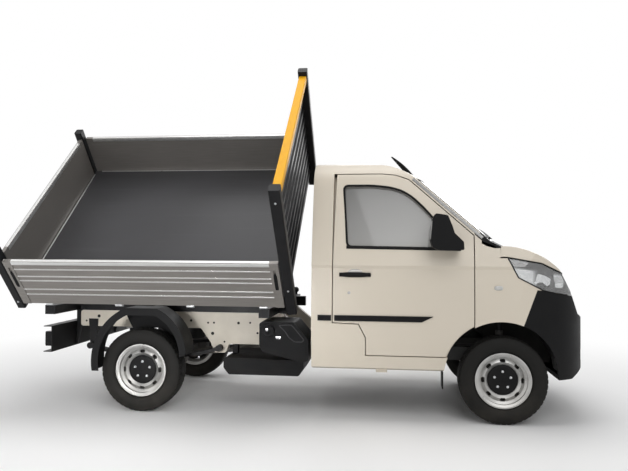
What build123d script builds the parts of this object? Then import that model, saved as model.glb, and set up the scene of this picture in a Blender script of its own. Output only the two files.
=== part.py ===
from build123d import *
import os
from math import atan2, cos, degrees, hypot, radians, sin

os.makedirs("parts", exist_ok=True)

# Axes: x forward from the rear axle, y to the left from the centreline, z up from the ground.
WHEELBASE = 2650.0
TYRE_R = 309.0
TYRE_W = 175.0
RIM_R = 178.0
RIM_HALF_W = 72.0
TRACK_HALF = 660.0
SPINDLE_R = 20.0
FIT = 0.3

# Tipping bed, drawn lowered and then turned about its right-hand pivots.
BED_REAR_X = -888.0
BED_LEN = 2004.0
BED_FRONT_X = BED_REAR_X + BED_LEN
BED_HALF = 800.0
FLOOR_Z = 937.0
FLOOR_T = 5.0
BED_TILT = 41.5
PIVOT_Y = -762.0
PIVOT_Z = FLOOR_Z - 106.0
SKIRT_H = 105.0
SKIRT_T = 10.0
BOARD_T = 28.0
BOARD_GAP = 5.0
BOARD_UP = 350.0
BOARD_DOWN = 78.0
KNUCKLE_R = 12.7
TAIL_UP = 370.0
POST_X = 76.0
HEAD_UP = 960.0
HINGE_DROP = BOARD_DOWN + KNUCKLE_R + FIT

# Frame.
RAIL_IN = 330.0
RAIL_T = 60.0
RAIL_OUT = RAIL_IN + RAIL_T
RAIL_TOP = 718.0
RAIL_BOTTOM = 590.0
RAIL_REAR_X = -650.0
RAIL_FRONT_X = 3040.0
RAIL_LOW_TOP = 490.0
RAIL_LOW_BOTTOM = 390.0
SUB_TOP = 800.0
BEARER_X = (-700.0, 950.0)
BALL_R = 28.0

# Tipping cylinder.
CYL_X = 200.0
TRUNNION_Z = 640.0
TRUNNION_R = 20.0
BARREL_R = 75.0
CLOSED_LEN = PIVOT_Z - TRUNNION_Z

# Cab.
CAB_REAR_X = 1300.0
WALL_T = 45.0
SIDE_T = 80.0
DOOR_T = 60.0
ROOF_T = 40.0
SKIN_T = 22.0
ROOF_Z = 1786.0
SCREEN_TOP_Z = 1752.0
SCREEN_FOOT_Z = 1292.0
ARCH_X = 2630.0
ARCH_Z = 335.0
ARCH_R = 395.0
DOOR_FRONT_X = 2440.0
DOOR_GAP = 7.0
KINGPIN_Y = 535.0

# The row origin lies under the middle of the rest pose.
ROW_X = -1172.0
ROW_Y = 260.0


def save(piece, node):
    """Move a finished piece into the row frame, name it and write its file."""
    placed = piece.moved(Location((ROW_X, ROW_Y, 0)))
    placed.label = node
    export_step(placed, f"parts/{node}.step")


def save_tipped(piece, node):
    """Turn a piece of the lowered bed to the tipped rest pose and write it."""
    pivot = Axis((0, PIVOT_Y, PIVOT_Z), (1, 0, 0))
    save(piece.rotate(pivot, BED_TILT), node)


def side_prism(outline, y_from, y_to, radius=0.0):
    """A side-view outline of (x, z) points carried from y_from to y_to."""
    with BuildPart() as prism:
        with BuildSketch(Plane.XZ.offset(-y_from)) as face:
            with BuildLine():
                Polyline(*outline, close=True)
            make_face()
            if radius:
                fillet(face.vertices(), radius)
        extrude(amount=y_from - y_to)
    return prism.part


def front_prism(outline, x_from, x_to, radius=0.0):
    """A front-view outline of (y, z) points carried from x_from to x_to."""
    with BuildPart() as prism:
        with BuildSketch(Plane.YZ.offset(x_from)) as face:
            with BuildLine():
                Polyline(*outline, close=True)
            make_face()
            if radius:
                fillet(face.vertices(), radius)
        extrude(amount=x_to - x_from)
    return prism.part


def block(x0, x1, y0, y1, z0, z1):
    """A plain block between two corners."""
    with BuildPart() as body:
        with Locations(((x0 + x1) / 2, (y0 + y1) / 2, (z0 + z1) / 2)):
            Box(x1 - x0, y1 - y0, z1 - z0)
    return body.part


def rod(start, end, radius):
    """A round bar between two points."""
    run = Vector(*end) - Vector(*start)
    with BuildPart() as bar:
        with BuildSketch(Plane(origin=start, z_dir=run)):
            Circle(radius)
        extrude(amount=run.length)
    return bar.part


def flipped(piece):
    """The same piece on the other side of the centreline."""
    return mirror(piece, about=Plane.XZ)


# Cab outer form: each point of an outline and the way it goes in under a thickness.
NOSE = dict(
    rear=((1200, 300), (0, 0)),
    roof_rear=((1200, 1868), (0, 1)),
    roof_mid=((1520, 1884), (0, 1)),
    roof_front=((1860, 1862), (0.14, 0.99)),
    brow=((2138, 1752), (0.64, 0.77)),
    glass_base=((2668, 1288), (0.5, 0.89)),
    bonnet_rear=((2735, 1254), (0.22, 0.98)),
    bonnet_mid=((2960, 1206), (0.35, 0.94)),
    bonnet_front=((3118, 1090), (0.82, 0.61)),
    lamp_base=((3189, 938), (0.94, 0.35)),
    nose_low=((3235, 777), (1, 0.14)),
    nose_base=((3235, 300), (1, 0)),
)
SECTION = dict(
    base=((0, 360), (0, -1)),
    sill_in=((700, 360), (0.13, -1)),
    sill_out=((792, 385), (0.96, -0.78)),
    flank=((818, 800), (1, 0)),
    belt_under=((804, 1090), (1, 0)),
    belt=((812, 1112), (1, 0)),
    glass=((752, 1440), (0.97, 0.23)),
    rail=((692, 1700), (0.96, 0.26)),
    gutter=((545, 1860), (0.18, 0.98)),
    top=((0, 1955), (0.0, 1.02)),
)
PLAN = dict(
    rear_mid=((1100, 0), (0, 0)),
    rear=((1100, 835), (0, 1)),
    side=((2550, 820), (0.04, 1)),
    wing=((2850, 798), (0.15, 0.99)),
    corner_rear=((3020, 735), (0.5, 0.87)),
    corner=((3165, 620), (0.72, 0.69)),
    corner_front=((3250, 430), (0.92, 0.39)),
    front=((3330, 0), (1, 0)),
)


def taken_in(outline, inset):
    """The points of an outline moved in by a thickness."""
    return {k: (p[0] - inset * n[0], p[1] - inset * n[1]) for k, (p, n) in outline.items()}


def plan_bar(inset):
    """The plan outline taken in by a thickness and carried up past the roof."""
    p = taken_in(PLAN, inset)
    with BuildPart() as bar:
        with BuildSketch(Plane.XY.offset(200)):
            with BuildLine():
                Polyline(p["rear_mid"], p["rear"], p["side"])
                ThreePointArc(p["side"], p["wing"], p["corner_rear"])
                ThreePointArc(p["corner_rear"], p["corner"], p["corner_front"])
                Line(p["corner_front"], p["front"])
                mirror(about=Plane.XZ)
            make_face()
        extrude(amount=2000)
    return bar.part


TURN_HALF = 50.0
TURN_START = Plane(
    origin=(0, 0, 0),
    x_dir=(cos(radians(TURN_HALF)), -sin(radians(TURN_HALF)), 0),
    z_dir=(-sin(radians(TURN_HALF)), -cos(radians(TURN_HALF)), 0),
)


def section_bar(inset):
    """The cross-section taken in by a thickness and carried along the cab."""
    b = taken_in(SECTION, inset)
    with BuildPart() as bar:
        with BuildSketch(Plane.YZ.offset(CAB_REAR_X)):
            with BuildLine():
                Polyline(b["base"], b["sill_in"], b["sill_out"])
                ThreePointArc(b["sill_out"], b["flank"], b["belt_under"])
                Line(b["belt_under"], b["belt"])
                upper = ThreePointArc(b["belt"], b["glass"], b["rail"])
                TangentArc(b["rail"], b["gutter"], tangent=upper % 1)
                Line(b["gutter"], b["top"])
                mirror(about=Plane.YZ)
            make_face()
        extrude(amount=2200)
    return bar.part


def cab_form(inset):
    """Cab outer form taken in by a thickness: a profile turned about the upright axis at the rear axle,
    trimmed to the cross-section and to the plan."""
    a = taken_in(NOSE, inset)
    with BuildPart() as form:
        with BuildSketch(TURN_START):
            with BuildLine():
                Line(a["rear"], a["roof_rear"])
                roof = ThreePointArc(a["roof_rear"], a["roof_mid"], a["roof_front"])
                TangentArc(a["roof_front"], a["brow"], tangent=roof % 1)
                Polyline(a["brow"], a["glass_base"], a["bonnet_rear"])
                ThreePointArc(a["bonnet_rear"], a["bonnet_mid"], a["bonnet_front"])
                Polyline(a["bonnet_front"], a["lamp_base"], a["nose_low"], a["nose_base"], a["rear"])
            make_face()
        revolve(axis=Axis.Z, revolution_arc=2 * TURN_HALF)
        add(section_bar(inset), mode=Mode.INTERSECT)
        add(plan_bar(inset), mode=Mode.INTERSECT)
    return form.part


OUTER = cab_form(0)
TRIM_OUT = cab_form(-8)
GLASS_OUT = cab_form(4)
GLASS_IN = cab_form(10)
SKIN_IN = cab_form(SKIN_T)
ROOF_IN = cab_form(ROOF_T)
SIDE_IN = cab_form(SIDE_T)


def arch(grow):
    """The wheel-arch round, carried across the whole width."""
    with BuildPart() as round_bar:
        with BuildSketch(Plane.XZ.offset(-1000)):
            with Locations((ARCH_X, ARCH_Z)):
                Circle(ARCH_R + grow)
        extrude(amount=2000)
    return round_bar.part


ARCH = arch(0)

# Door and window outlines on the side view.
DOOR_REAR_X = 1455.0
SILL_Z = 478.0
DOOR_TOP_Z = ROOF_Z - 10.0
BELT_Z = 1150.0
DOORWAY = (
    (DOOR_REAR_X, DOOR_TOP_Z),
    (DOOR_REAR_X, 706),
    (1640, 700),
    (1692, 600),
    (1692, SILL_Z),
    (DOOR_FRONT_X, SILL_Z),
    (DOOR_FRONT_X, 1326),
    (1990, 1731),
    (1900, 1765),
    (1800, DOOR_TOP_Z),
)
# The door's rear edge leans away from its pillar above the belt, so that it clears while it swings.
DOOR_LEAN = 16.0
DOOR_FLANGE = 32.0
DOOR = ((DOOR_REAR_X + DOOR_LEAN, DOOR_TOP_Z), (DOOR_REAR_X, BELT_Z)) + DOORWAY[1:]
WINDOW_R = 30.0
WINDOW = (
    (1524, 1688),
    (1556, 1248),
    (2352, 1236),
    (2085, 1534),
    (2010, 1604),
    (1940, 1648),
    (1850, 1674),
    (1720, 1688),
)


def grown(outline, step):
    """An outline moved outwards all round by a step."""
    with BuildSketch() as face:
        with BuildLine():
            Polyline(*outline, close=True)
        make_face()
        offset(amount=step, kind=Kind.INTERSECTION)
    ring = face.face().outer_wire().order_edges()
    return tuple((e.position_at(0).X, e.position_at(0).Y) for e in ring)


SEAT_LAP = 28.0
DOOR_HOLE = grown(DOORWAY, DOOR_GAP)
DOOR_CLEAR = grown(DOORWAY, -SEAT_LAP)

with BuildPart() as door_rebate:
    add(SKIN_IN)
    add(block(DOOR_REAR_X - 50, DOOR_REAR_X + DOOR_FLANGE, -900, -500, 640, 1800), mode=Mode.INTERSECT)
with BuildPart() as door_right:
    add(OUTER)
    add(section_bar(DOOR_T), mode=Mode.SUBTRACT)
    add(side_prism(DOOR, -900, -500), mode=Mode.INTERSECT)
    add(arch(DOOR_GAP + 8), mode=Mode.SUBTRACT)
    add(door_rebate.part, mode=Mode.SUBTRACT)
    add(side_prism(WINDOW, -900, -500, WINDOW_R), mode=Mode.SUBTRACT)
save(door_right.part, "door_right")
save(flipped(door_right.part), "door_left")

with BuildPart() as door_glass:
    add(cab_form(24))
    add(cab_form(30), mode=Mode.SUBTRACT)
    add(side_prism(WINDOW, -900, -500, WINDOW_R), mode=Mode.INTERSECT)
save(door_glass.part, "door_glass_right")
save(flipped(door_glass.part), "door_glass_left")

# Pillars, sill and rear quarter, with a seat for the door all round.
PILLAR_FOOT_Z = 1346.0
FRAME_SIDE = (
    (CAB_REAR_X + WALL_T, 360),
    (CAB_REAR_X + WALL_T, ROOF_Z),
    (1900, ROOF_Z),
    (2010, SCREEN_TOP_Z),
    (2330, SCREEN_TOP_Z),
    (2700, 1460),
    (2700, PILLAR_FOOT_Z),
    (DOOR_FRONT_X + DOOR_GAP, PILLAR_FOOT_Z),
    (DOOR_FRONT_X + DOOR_GAP, 360),
)
FRAME_SECTION = ((-690, 340), (-690, SCREEN_FOOT_Z), (-585, ROOF_Z), (-900, ROOF_Z), (-900, 340))
SCREEN = ((-750, SCREEN_FOOT_Z), (750, SCREEN_FOOT_Z), (640, SCREEN_TOP_Z), (-640, SCREEN_TOP_Z))
SCREEN_ZONE = front_prism(SCREEN, 2030, 3000)
with BuildPart() as door_gap:
    add(side_prism(DOOR_HOLE, -900, -500))
    add(section_bar(DOOR_T + FIT), mode=Mode.SUBTRACT)
with BuildPart() as door_clear:
    add(side_prism(DOOR_CLEAR, -900, -500))
    add(arch(45), mode=Mode.SUBTRACT)
with BuildPart() as cab_side:
    add(OUTER)
    add(SIDE_IN, mode=Mode.SUBTRACT)
    add(side_prism(FRAME_SIDE, -900, -500), mode=Mode.INTERSECT)
    add(front_prism(FRAME_SECTION, 1200, 3000), mode=Mode.INTERSECT)
    add(SCREEN_ZONE, mode=Mode.SUBTRACT)
    add(door_gap.part, mode=Mode.SUBTRACT)
    add(door_clear.part, mode=Mode.SUBTRACT)
    add(ARCH, mode=Mode.SUBTRACT)
    add(block(1760, 1840, -745, -705, 348, 380))
save(cab_side.part, "cab_side_right")
save(flipped(cab_side.part), "cab_side_left")

ROOF_SIDE = (
    (1200, ROOF_Z),
    (1900, ROOF_Z),
    (2010, SCREEN_TOP_Z),
    (2400, SCREEN_TOP_Z),
    (2400, 2000),
    (1200, 2000),
)
with BuildPart() as roof:
    add(OUTER)
    add(ROOF_IN, mode=Mode.SUBTRACT)
    add(side_prism(ROOF_SIDE, -900, 900), mode=Mode.INTERSECT)
save(roof.part, "cab_roof")

REAR_WINDOW = ((-540, 1270), (540, 1270), (470, 1640), (-470, 1640))
with BuildPart() as rear_wall:
    add(OUTER)
    add(block(CAB_REAR_X, CAB_REAR_X + WALL_T, -900, 900, 300, ROOF_Z), mode=Mode.INTERSECT)
    add(block(1200, 1400, -690, 690, 300, 800), mode=Mode.SUBTRACT)
    add(front_prism(REAR_WINDOW, 1200, 1400, 40), mode=Mode.SUBTRACT)
save(rear_wall.part, "cab_rear_wall")

with BuildPart() as cab_glass:
    add(GLASS_OUT)
    add(GLASS_IN, mode=Mode.SUBTRACT)
    add(SCREEN_ZONE, mode=Mode.INTERSECT)
    add(front_prism(REAR_WINDOW, CAB_REAR_X + 12, CAB_REAR_X + 18, 40))
save(cab_glass.part, "cab_glass")

# Front end: cowl, bonnet, wings, lamps, grille and bumper.
COWL_R = NOSE["bonnet_rear"][0][0]
PANEL_GAP = 6.0
LAMP_Y = 440.0
LAMP_T = 60.0
LENS_T = 5.0
LENS_GAP = 6.0
LAMP = (
    (2668, 1174), (2901, 1134), (3062, 1060), (3300, 1060),
    (3300, 906), (3120, 906), (2911, 948), (2740, 1036),
)
BONNET = ((2500, 1182), (2668, 1180), (2901, 1140), (3062, 1066), (3400, 1066), (3400, 1400), (2500, 1400))
BUMPER_ZONE = (
    (2768, 690), (2868, 951), (2911, 948), (3120, 906), (3420, 906),
    (3420, 280), (2768, 280),
)
BUMPER = dict(
    rear=((2400, 325), (0, -1)),
    base=((3200, 325), (0.3, -1)),
    low=((3291, 393), (0.97, -0.4)),
    mid=((3297, 608), (1, 0.02)),
    high=((3283, 733), (0.97, 0.35)),
    step=((3241, 777), (0.9, 0.5)),
    lamp_base=((3189, 938), (0.94, 0.35)),
    top=((3160, 1010), (0.94, 0.35)),
    top_rear=((2400, 1010), (0, 0)),
)


def bumper_form(inset):
    """Bumper outer form taken in by a thickness, turned and trimmed like the cab."""
    a = taken_in(BUMPER, inset)
    with BuildPart() as form:
        with BuildSketch(TURN_START):
            with BuildLine():
                Polyline(*a.values(), close=True)
            make_face()
        revolve(axis=Axis.Z, revolution_arc=2 * TURN_HALF)
        add(plan_bar(inset), mode=Mode.INTERSECT)
    return form.part


def drum(radius):
    """An upright drum about the rear axle's middle, used to part panels across the nose."""
    with BuildPart() as body:
        with BuildSketch(Plane.XY.offset(200)):
            Circle(radius)
        extrude(amount=2000)
    return body.part


PANEL_IN = cab_form(30)

with BuildPart() as bonnet:
    add(OUTER)
    add(SKIN_IN, mode=Mode.SUBTRACT)
    add(side_prism(BONNET, -900, 900), mode=Mode.INTERSECT)
    add(drum(COWL_R + PANEL_GAP), mode=Mode.SUBTRACT)
save(bonnet.part, "bonnet")

COWL = (
    (DOOR_FRONT_X + DOOR_GAP, 1336), (2500, 1288), (2575, 1258), (2640, 1215), (2800, 1205),
    (2800, PILLAR_FOOT_Z), (DOOR_FRONT_X + DOOR_GAP, PILLAR_FOOT_Z),
)
COWL_ZONE = side_prism(COWL, -900, 900)
with BuildPart() as cowl:
    add(OUTER)
    add(PANEL_IN, mode=Mode.SUBTRACT)
    add(COWL_ZONE, mode=Mode.INTERSECT)
    add(SCREEN_ZONE, mode=Mode.SUBTRACT)
    add(drum(COWL_R), mode=Mode.INTERSECT)
save(cowl.part, "cowl")

with BuildPart() as front_wing:
    add(OUTER)
    add(SKIN_IN, mode=Mode.SUBTRACT)
    add(block(DOOR_FRONT_X + DOOR_GAP, 3200, -900, -LAMP_Y, 300, PILLAR_FOOT_Z), mode=Mode.INTERSECT)
    add(COWL_ZONE, mode=Mode.SUBTRACT)
    with BuildSketch(Plane.XY.offset(1170)):
        Rectangle(8000, 2000)
        Circle(COWL_R, mode=Mode.SUBTRACT)
    extrude(amount=300, mode=Mode.SUBTRACT)
    add(side_prism(grown(BONNET, PANEL_GAP), -900, -300), mode=Mode.SUBTRACT)
    add(side_prism(LAMP, -900, -300), mode=Mode.SUBTRACT)
    add(side_prism(BUMPER_ZONE, -900, -300), mode=Mode.SUBTRACT)
    add(ARCH, mode=Mode.SUBTRACT)
with BuildPart() as front_wings:
    add(front_wing.part)
    add(flipped(front_wing.part))
save(front_wings.part, "front_wings")

with BuildPart() as lens:
    add(OUTER)
    add(cab_form(LENS_T), mode=Mode.SUBTRACT)
    add(side_prism(LAMP, -900, -LAMP_Y), mode=Mode.INTERSECT)
with BuildPart() as headlamps:
    add(lens.part)
    add(flipped(lens.part))
save(headlamps.part, "headlamps")

with BuildPart() as housing:
    add(cab_form(LENS_T + LENS_GAP))
    add(cab_form(LAMP_T), mode=Mode.SUBTRACT)
    add(side_prism(LAMP, -900, -LAMP_Y), mode=Mode.INTERSECT)
with BuildPart() as lamp_housings:
    add(housing.part)
    add(flipped(housing.part))
save(lamp_housings.part, "lamp_housings")

GRILLE_BARS = 5
GRILLE_Z = (906.0, 1060.0)
SLOT_H = 15.0
with BuildPart() as grille:
    add(OUTER)
    add(PANEL_IN, mode=Mode.SUBTRACT)
    add(block(3000, 3300, -LAMP_Y, LAMP_Y, *GRILLE_Z), mode=Mode.INTERSECT)
    with BuildSketch(Plane.YZ.offset(2950)):
        with Locations((0, sum(GRILLE_Z) / 2)):
            with GridLocations(LAMP_Y, (GRILLE_Z[1] - GRILLE_Z[0]) / GRILLE_BARS, 2, GRILLE_BARS):
                Rectangle(LAMP_Y - 40, SLOT_H)
    extrude(amount=400, mode=Mode.SUBTRACT)
with BuildPart() as bonnet_ledge:
    add(cab_form(SKIN_T + FIT))
    add(cab_form(SKIN_T + 18), mode=Mode.SUBTRACT)
    add(block(2900, 3300, -LAMP_Y, LAMP_Y, GRILLE_Z[1] - 16, GRILLE_Z[1] + 26), mode=Mode.INTERSECT)
with BuildPart() as grille_panel:
    add(grille.part)
    add(bonnet_ledge.part)
save(grille_panel.part, "grille")

BUMPER_T = 30.0
with BuildPart() as bumper:
    add(bumper_form(0))
    add(bumper_form(BUMPER_T), mode=Mode.SUBTRACT)
    add(side_prism(BUMPER_ZONE, -900, 900), mode=Mode.INTERSECT)
    add(ARCH, mode=Mode.SUBTRACT)
    with BuildSketch(Plane.YZ.offset(3000)) as intake:
        with Locations((0, 470)):
            RectangleRounded(1000, 90, 20)
    extrude(amount=400, mode=Mode.SUBTRACT)
save(bumper.part, "front_bumper")

LINER_T = 8.0
LINER_IN_Y = 575.0
FLAP_IN_Y = 600.0
FLAP_OUT_Y = 738.0
FLAP_LOW_Z = 240.0
SILL_BOTTOM_Z = SECTION["base"][0][1]
with BuildPart() as liner:
    with BuildSketch(Plane.XZ.offset(LINER_IN_Y)):
        with Locations((ARCH_X, ARCH_Z)):
            Circle(ARCH_R + LINER_T)
            Circle(ARCH_R, mode=Mode.SUBTRACT)
        with Locations((ARCH_X, ARCH_Z - 500)):
            Rectangle(1200, 1000, mode=Mode.SUBTRACT)
    extrude(amount=250)
    add(SKIN_IN, mode=Mode.INTERSECT)
with BuildPart() as liner_behind:
    add(block(2200, DOOR_FRONT_X + DOOR_GAP + 0.5, -900, -500, 300, 900))
    add(SIDE_IN, mode=Mode.SUBTRACT)
with BuildPart() as arch_liner:
    add(liner.part)
    add(liner_behind.part, mode=Mode.SUBTRACT)
    add(bumper.part, mode=Mode.SUBTRACT)
    add(block(ARCH_X - ARCH_R - LINER_T, ARCH_X - ARCH_R, -FLAP_OUT_Y, -FLAP_IN_Y, FLAP_LOW_Z, SILL_BOTTOM_Z))
with BuildPart() as arch_liners:
    add(arch_liner.part)
    add(flipped(arch_liner.part))
save(arch_liners.part, "arch_liners")

# Door trim, stripes, wipers and aerial.
STRIPE_Z = (718.0, 758.0)
STRIPE_FRONT_X = 2160.0
HANDLE = (1500.0, 1724.0, 1032.0, 1060.0)
MIRROR = (
    (2132, 1286), (2145, 1436), (2165, 1472), (2246, 1460), (2276, 1385),
    (2290, 1340), (2350, 1281), (2354, 1226), (2190, 1222), (2148, 1240),
)


def skin_strip(outline):
    """A raised strip that follows the right flank."""
    with BuildPart() as strip:
        add(TRIM_OUT)
        add(OUTER, mode=Mode.SUBTRACT)
        add(side_prism(outline, -900, -600), mode=Mode.INTERSECT)
    return strip.part


def upright(x0, x1, z0, z1):
    """A side-view rectangle as an outline."""
    return ((x0, z0), (x1, z0), (x1, z1), (x0, z1))


STRIPE = (
    (DOOR_REAR_X + 12, STRIPE_Z[0]),
    (STRIPE_FRONT_X - 80, STRIPE_Z[0]),
    (STRIPE_FRONT_X, STRIPE_Z[1]),
    (DOOR_REAR_X + 12, STRIPE_Z[1]),
)
with BuildPart() as door_trim:
    add(skin_strip(STRIPE))
    add(skin_strip(upright(*HANDLE)))
    add(side_prism(MIRROR, -1000, -850, 10))
    with BuildSketch(Plane.XZ.offset(850)):
        with BuildLine():
            Polyline((2235, 1236), (2340, 1236), (2300, 1300), (2235, 1300), close=True)
        make_face()
    extrude(amount=-80)
    add(OUTER, mode=Mode.SUBTRACT)
save(door_trim.part, "door_trim_right")
save(flipped(door_trim.part), "door_trim_left")

WIPERS = (
    ((40, 1306), (560, 1398), (557, 1412), (36, 1320)),
    ((-560, 1306), (-40, 1398), (-43, 1412), (-564, 1320)),
)
with BuildPart() as wipers:
    for blade in WIPERS:
        with BuildSketch(Plane.YZ.offset(1900)):
            with BuildLine():
                Polyline(*blade, close=True)
            make_face()
    extrude(amount=900)
    add(TRIM_OUT, mode=Mode.INTERSECT)
    add(GLASS_OUT, mode=Mode.SUBTRACT)


AERIAL_FOOT = (2052.0, 0.0, 1792.0)
AERIAL_TIP = (1864.0, 0.0, 1997.0)
AERIAL_R = (13.0, 5.0)
with BuildPart() as aerial:
    mast = Vector(*AERIAL_TIP) - Vector(*AERIAL_FOOT)
    with BuildSketch(Plane(origin=AERIAL_FOOT, z_dir=mast)):
        Circle(AERIAL_R[0])
    with BuildSketch(Plane(origin=AERIAL_TIP, z_dir=mast)):
        Circle(AERIAL_R[1])
    loft()
    add(OUTER, mode=Mode.SUBTRACT)

with BuildPart() as cab_trim:
    quarter = skin_strip(upright(CAB_REAR_X + WALL_T + 2, DOOR_REAR_X - 12, *STRIPE_Z))
    add(quarter)
    add(flipped(quarter))
    add(wipers.part)
    add(aerial.part)
save(cab_trim.part, "cab_trim")

# Cab floor with its raised seat box and firewall.
BOX_Z = 820.0
FLOOR_SHEET = 40.0
FOOT_Z = 560.0
FIREWALL_X = 2560.0
FIREWALL_T = 30.0
APRON_T = 8.0
APRON_TOP = 1000.0
FOOT_HALF = RAIL_OUT + 0.5
with BuildPart() as cab_floor:
    with BuildSketch(Plane.XZ.offset(-850)):
        with BuildLine():
            Polyline(
                (CAB_REAR_X + WALL_T, BOX_Z - FLOOR_SHEET), (CAB_REAR_X + WALL_T, BOX_Z), (2170, BOX_Z),
                (2170, FOOT_Z), (2240, FOOT_Z), (2240, FOOT_Z - FLOOR_SHEET),
                (2130, FOOT_Z - FLOOR_SHEET), (2130, BOX_Z - FLOOR_SHEET), close=True,
            )
        make_face()
    extrude(amount=1700)
    with Locations(((2240 + FIREWALL_X) / 2, 0, FOOT_Z - FLOOR_SHEET / 2)):
        Box(FIREWALL_X - 2240, 2 * FOOT_HALF, FLOOR_SHEET)
    with Locations((FIREWALL_X + FIREWALL_T / 2, 0, (FOOT_Z - FLOOR_SHEET + 745) / 2)):
        Box(FIREWALL_T, 2 * (FOOT_HALF + APRON_T), 745 - FOOT_Z + FLOOR_SHEET)
    with Locations((FIREWALL_X + FIREWALL_T / 2, 0, (745 + 1230) / 2)):
        Box(FIREWALL_T, 1600, 1230 - 745)
    with Locations(((2240 + FIREWALL_X) / 2, 0, 752)):
        Box(FIREWALL_X - 2240, 1600, 14)
    with Locations(((2240 + FIREWALL_X) / 2, 0, 752)):
        Box(FIREWALL_X - 2240, 2 * FOOT_HALF, 14, mode=Mode.SUBTRACT)
    add(SIDE_IN, mode=Mode.INTERSECT)

TOWER_Z = 880.0
TOWER_T = 14.0
with BuildPart() as inner_wing:
    with BuildSketch(Plane.XZ.offset(RAIL_OUT + 0.5)):
        with BuildLine():
            Polyline((FIREWALL_X + FIREWALL_T, RAIL_LOW_BOTTOM), (RAIL_FRONT_X, RAIL_LOW_BOTTOM),
                     (RAIL_FRONT_X, 860), (FIREWALL_X + FIREWALL_T, APRON_TOP), close=True)
        make_face()
    extrude(amount=APRON_T)
    with BuildSketch(Plane.XY.offset(TOWER_Z)):
        with Locations((WHEELBASE, -KINGPIN_Y)):
            Circle(70)
        with Locations(((FIREWALL_X + FIREWALL_T + WHEELBASE + 70) / 2, -(RAIL_OUT + KINGPIN_Y) / 2)):
            Rectangle(WHEELBASE + 70 - FIREWALL_X - FIREWALL_T, KINGPIN_Y - RAIL_OUT)
    extrude(amount=TOWER_T)
with BuildPart() as cab_base:
    add(cab_floor.part)
    add(inner_wing.part)
    add(flipped(inner_wing.part))
save(cab_base.part, "cab_floor")

with BuildPart() as dashboard:
    with BuildSketch(Plane.XZ.offset(-700)) as section:
        with BuildLine():
            Polyline((2330, 985), (2315, 1110), (2400, 1185), (FIREWALL_X, 1195), (FIREWALL_X, 960), (2420, 950), close=True)
        make_face()
        fillet(section.vertices().sort_by(Axis.X)[:4], 25)
    extrude(amount=1400)

SEAT_Y = 385.0
SEAT_HALF = 240.0
CUSHION = ((1440, BOX_Z), (1960, BOX_Z), (1985, 930), (1940, 965), (1500, 935), (1440, 940))
BACKREST = ((1405, 915), (1500, 915), (1545, 990), (1455, 1490), (1400, 1505), (1362, 1470))
HEADREST = ((1362, 1535), (1440, 1540), (1432, 1690), (1368, 1690))
with BuildPart() as seat:
    add(side_prism(CUSHION, -SEAT_HALF, SEAT_HALF, 24))
    add(side_prism(BACKREST, -SEAT_HALF + 10, SEAT_HALF - 10, 24))
    add(side_prism(HEADREST, -130, 130, 18))
    add(rod((1403, -70, 1480), (1403, -70, 1560), 8))
    add(rod((1403, 70, 1480), (1403, 70, 1560), 8))
with BuildPart() as seats:
    for side in (SEAT_Y, -SEAT_Y):
        add(seat.part.moved(Location((0, side, 0))))
save(seats.part, "seats")

COLUMN_Y = 350.0
COLUMN_FROM = (2112.0, COLUMN_Y, 1118.0)
COLUMN_RUN = Vector(0.75, 0, -0.66).normalized()
COLUMN_LEN = (FIREWALL_X - COLUMN_FROM[0]) / COLUMN_RUN.X
SHAFT_R = 12.0
WHEEL_R = 185.0
column_plane = Plane(origin=COLUMN_FROM, x_dir=(0, 1, 0), z_dir=COLUMN_RUN)
with BuildPart() as steering_wheel:
    with BuildSketch(Plane(origin=COLUMN_FROM, x_dir=-COLUMN_RUN, z_dir=(0, 1, 0))):
        with Locations((0, WHEEL_R)):
            Circle(14)
    revolve(axis=Axis(COLUMN_FROM, COLUMN_RUN))
    with BuildSketch(column_plane.offset(-6)):
        Circle(55)
        with Locations(Location((0, 0), 90), Location((0, 0), 210), Location((0, 0), 330)):
            with Locations((WHEEL_R / 2, 0)):
                Rectangle(WHEEL_R, 34)
        Circle(WHEEL_R + 4, mode=Mode.INTERSECT)
    extrude(amount=16)
    with BuildSketch(column_plane):
        Circle(SHAFT_R)
    extrude(amount=110)
save(steering_wheel.part, "steering_wheel")

with BuildPart() as steering_column:
    with BuildSketch(column_plane.offset(40)):
        Circle(28)
        Circle(SHAFT_R + FIT, mode=Mode.SUBTRACT)
    extrude(amount=COLUMN_LEN - 40 + 30)
    with BuildSketch(Plane.YZ.offset(FIREWALL_X)):
        Rectangle(4000, 4000)
    extrude(amount=400, mode=Mode.SUBTRACT)
with BuildPart() as dash:
    add(dashboard.part)
    add(steering_column.part)
save(dash.part, "dashboard")

# Chassis frame.
HANGER_X = 520.0
HANGER_Z = 400.0
RAIL = (
    (RAIL_REAR_X, RAIL_TOP), (1020, RAIL_TOP), (1290, RAIL_LOW_TOP), (RAIL_FRONT_X, RAIL_LOW_TOP),
    (RAIL_FRONT_X, RAIL_LOW_BOTTOM), (1230, RAIL_LOW_BOTTOM), (930, 470), (590, 470),
    (565, HANGER_Z), (475, HANGER_Z), (440, 480), (360, RAIL_BOTTOM), (RAIL_REAR_X, RAIL_BOTTOM),
)
with BuildPart() as frame_rails:
    rail = side_prism(RAIL, -RAIL_OUT, -RAIL_IN, 20)
    add(rail)
    add(flipped(rail))
save(frame_rails.part, "frame_rails")

CROSSMEMBERS = (
    # x, z from, z to, half length in x
    (-600, 600, 700, 35),
    (-260, 600, 700, 30),
    (700, 600, 700, 30),
    (2985, 400, 480, 35),
)
with BuildPart() as frame_crossmembers:
    for x, low, high, half in CROSSMEMBERS:
        with Locations((x, 0, (low + high) / 2)):
            Box(2 * half, 2 * RAIL_IN, high - low)

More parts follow.
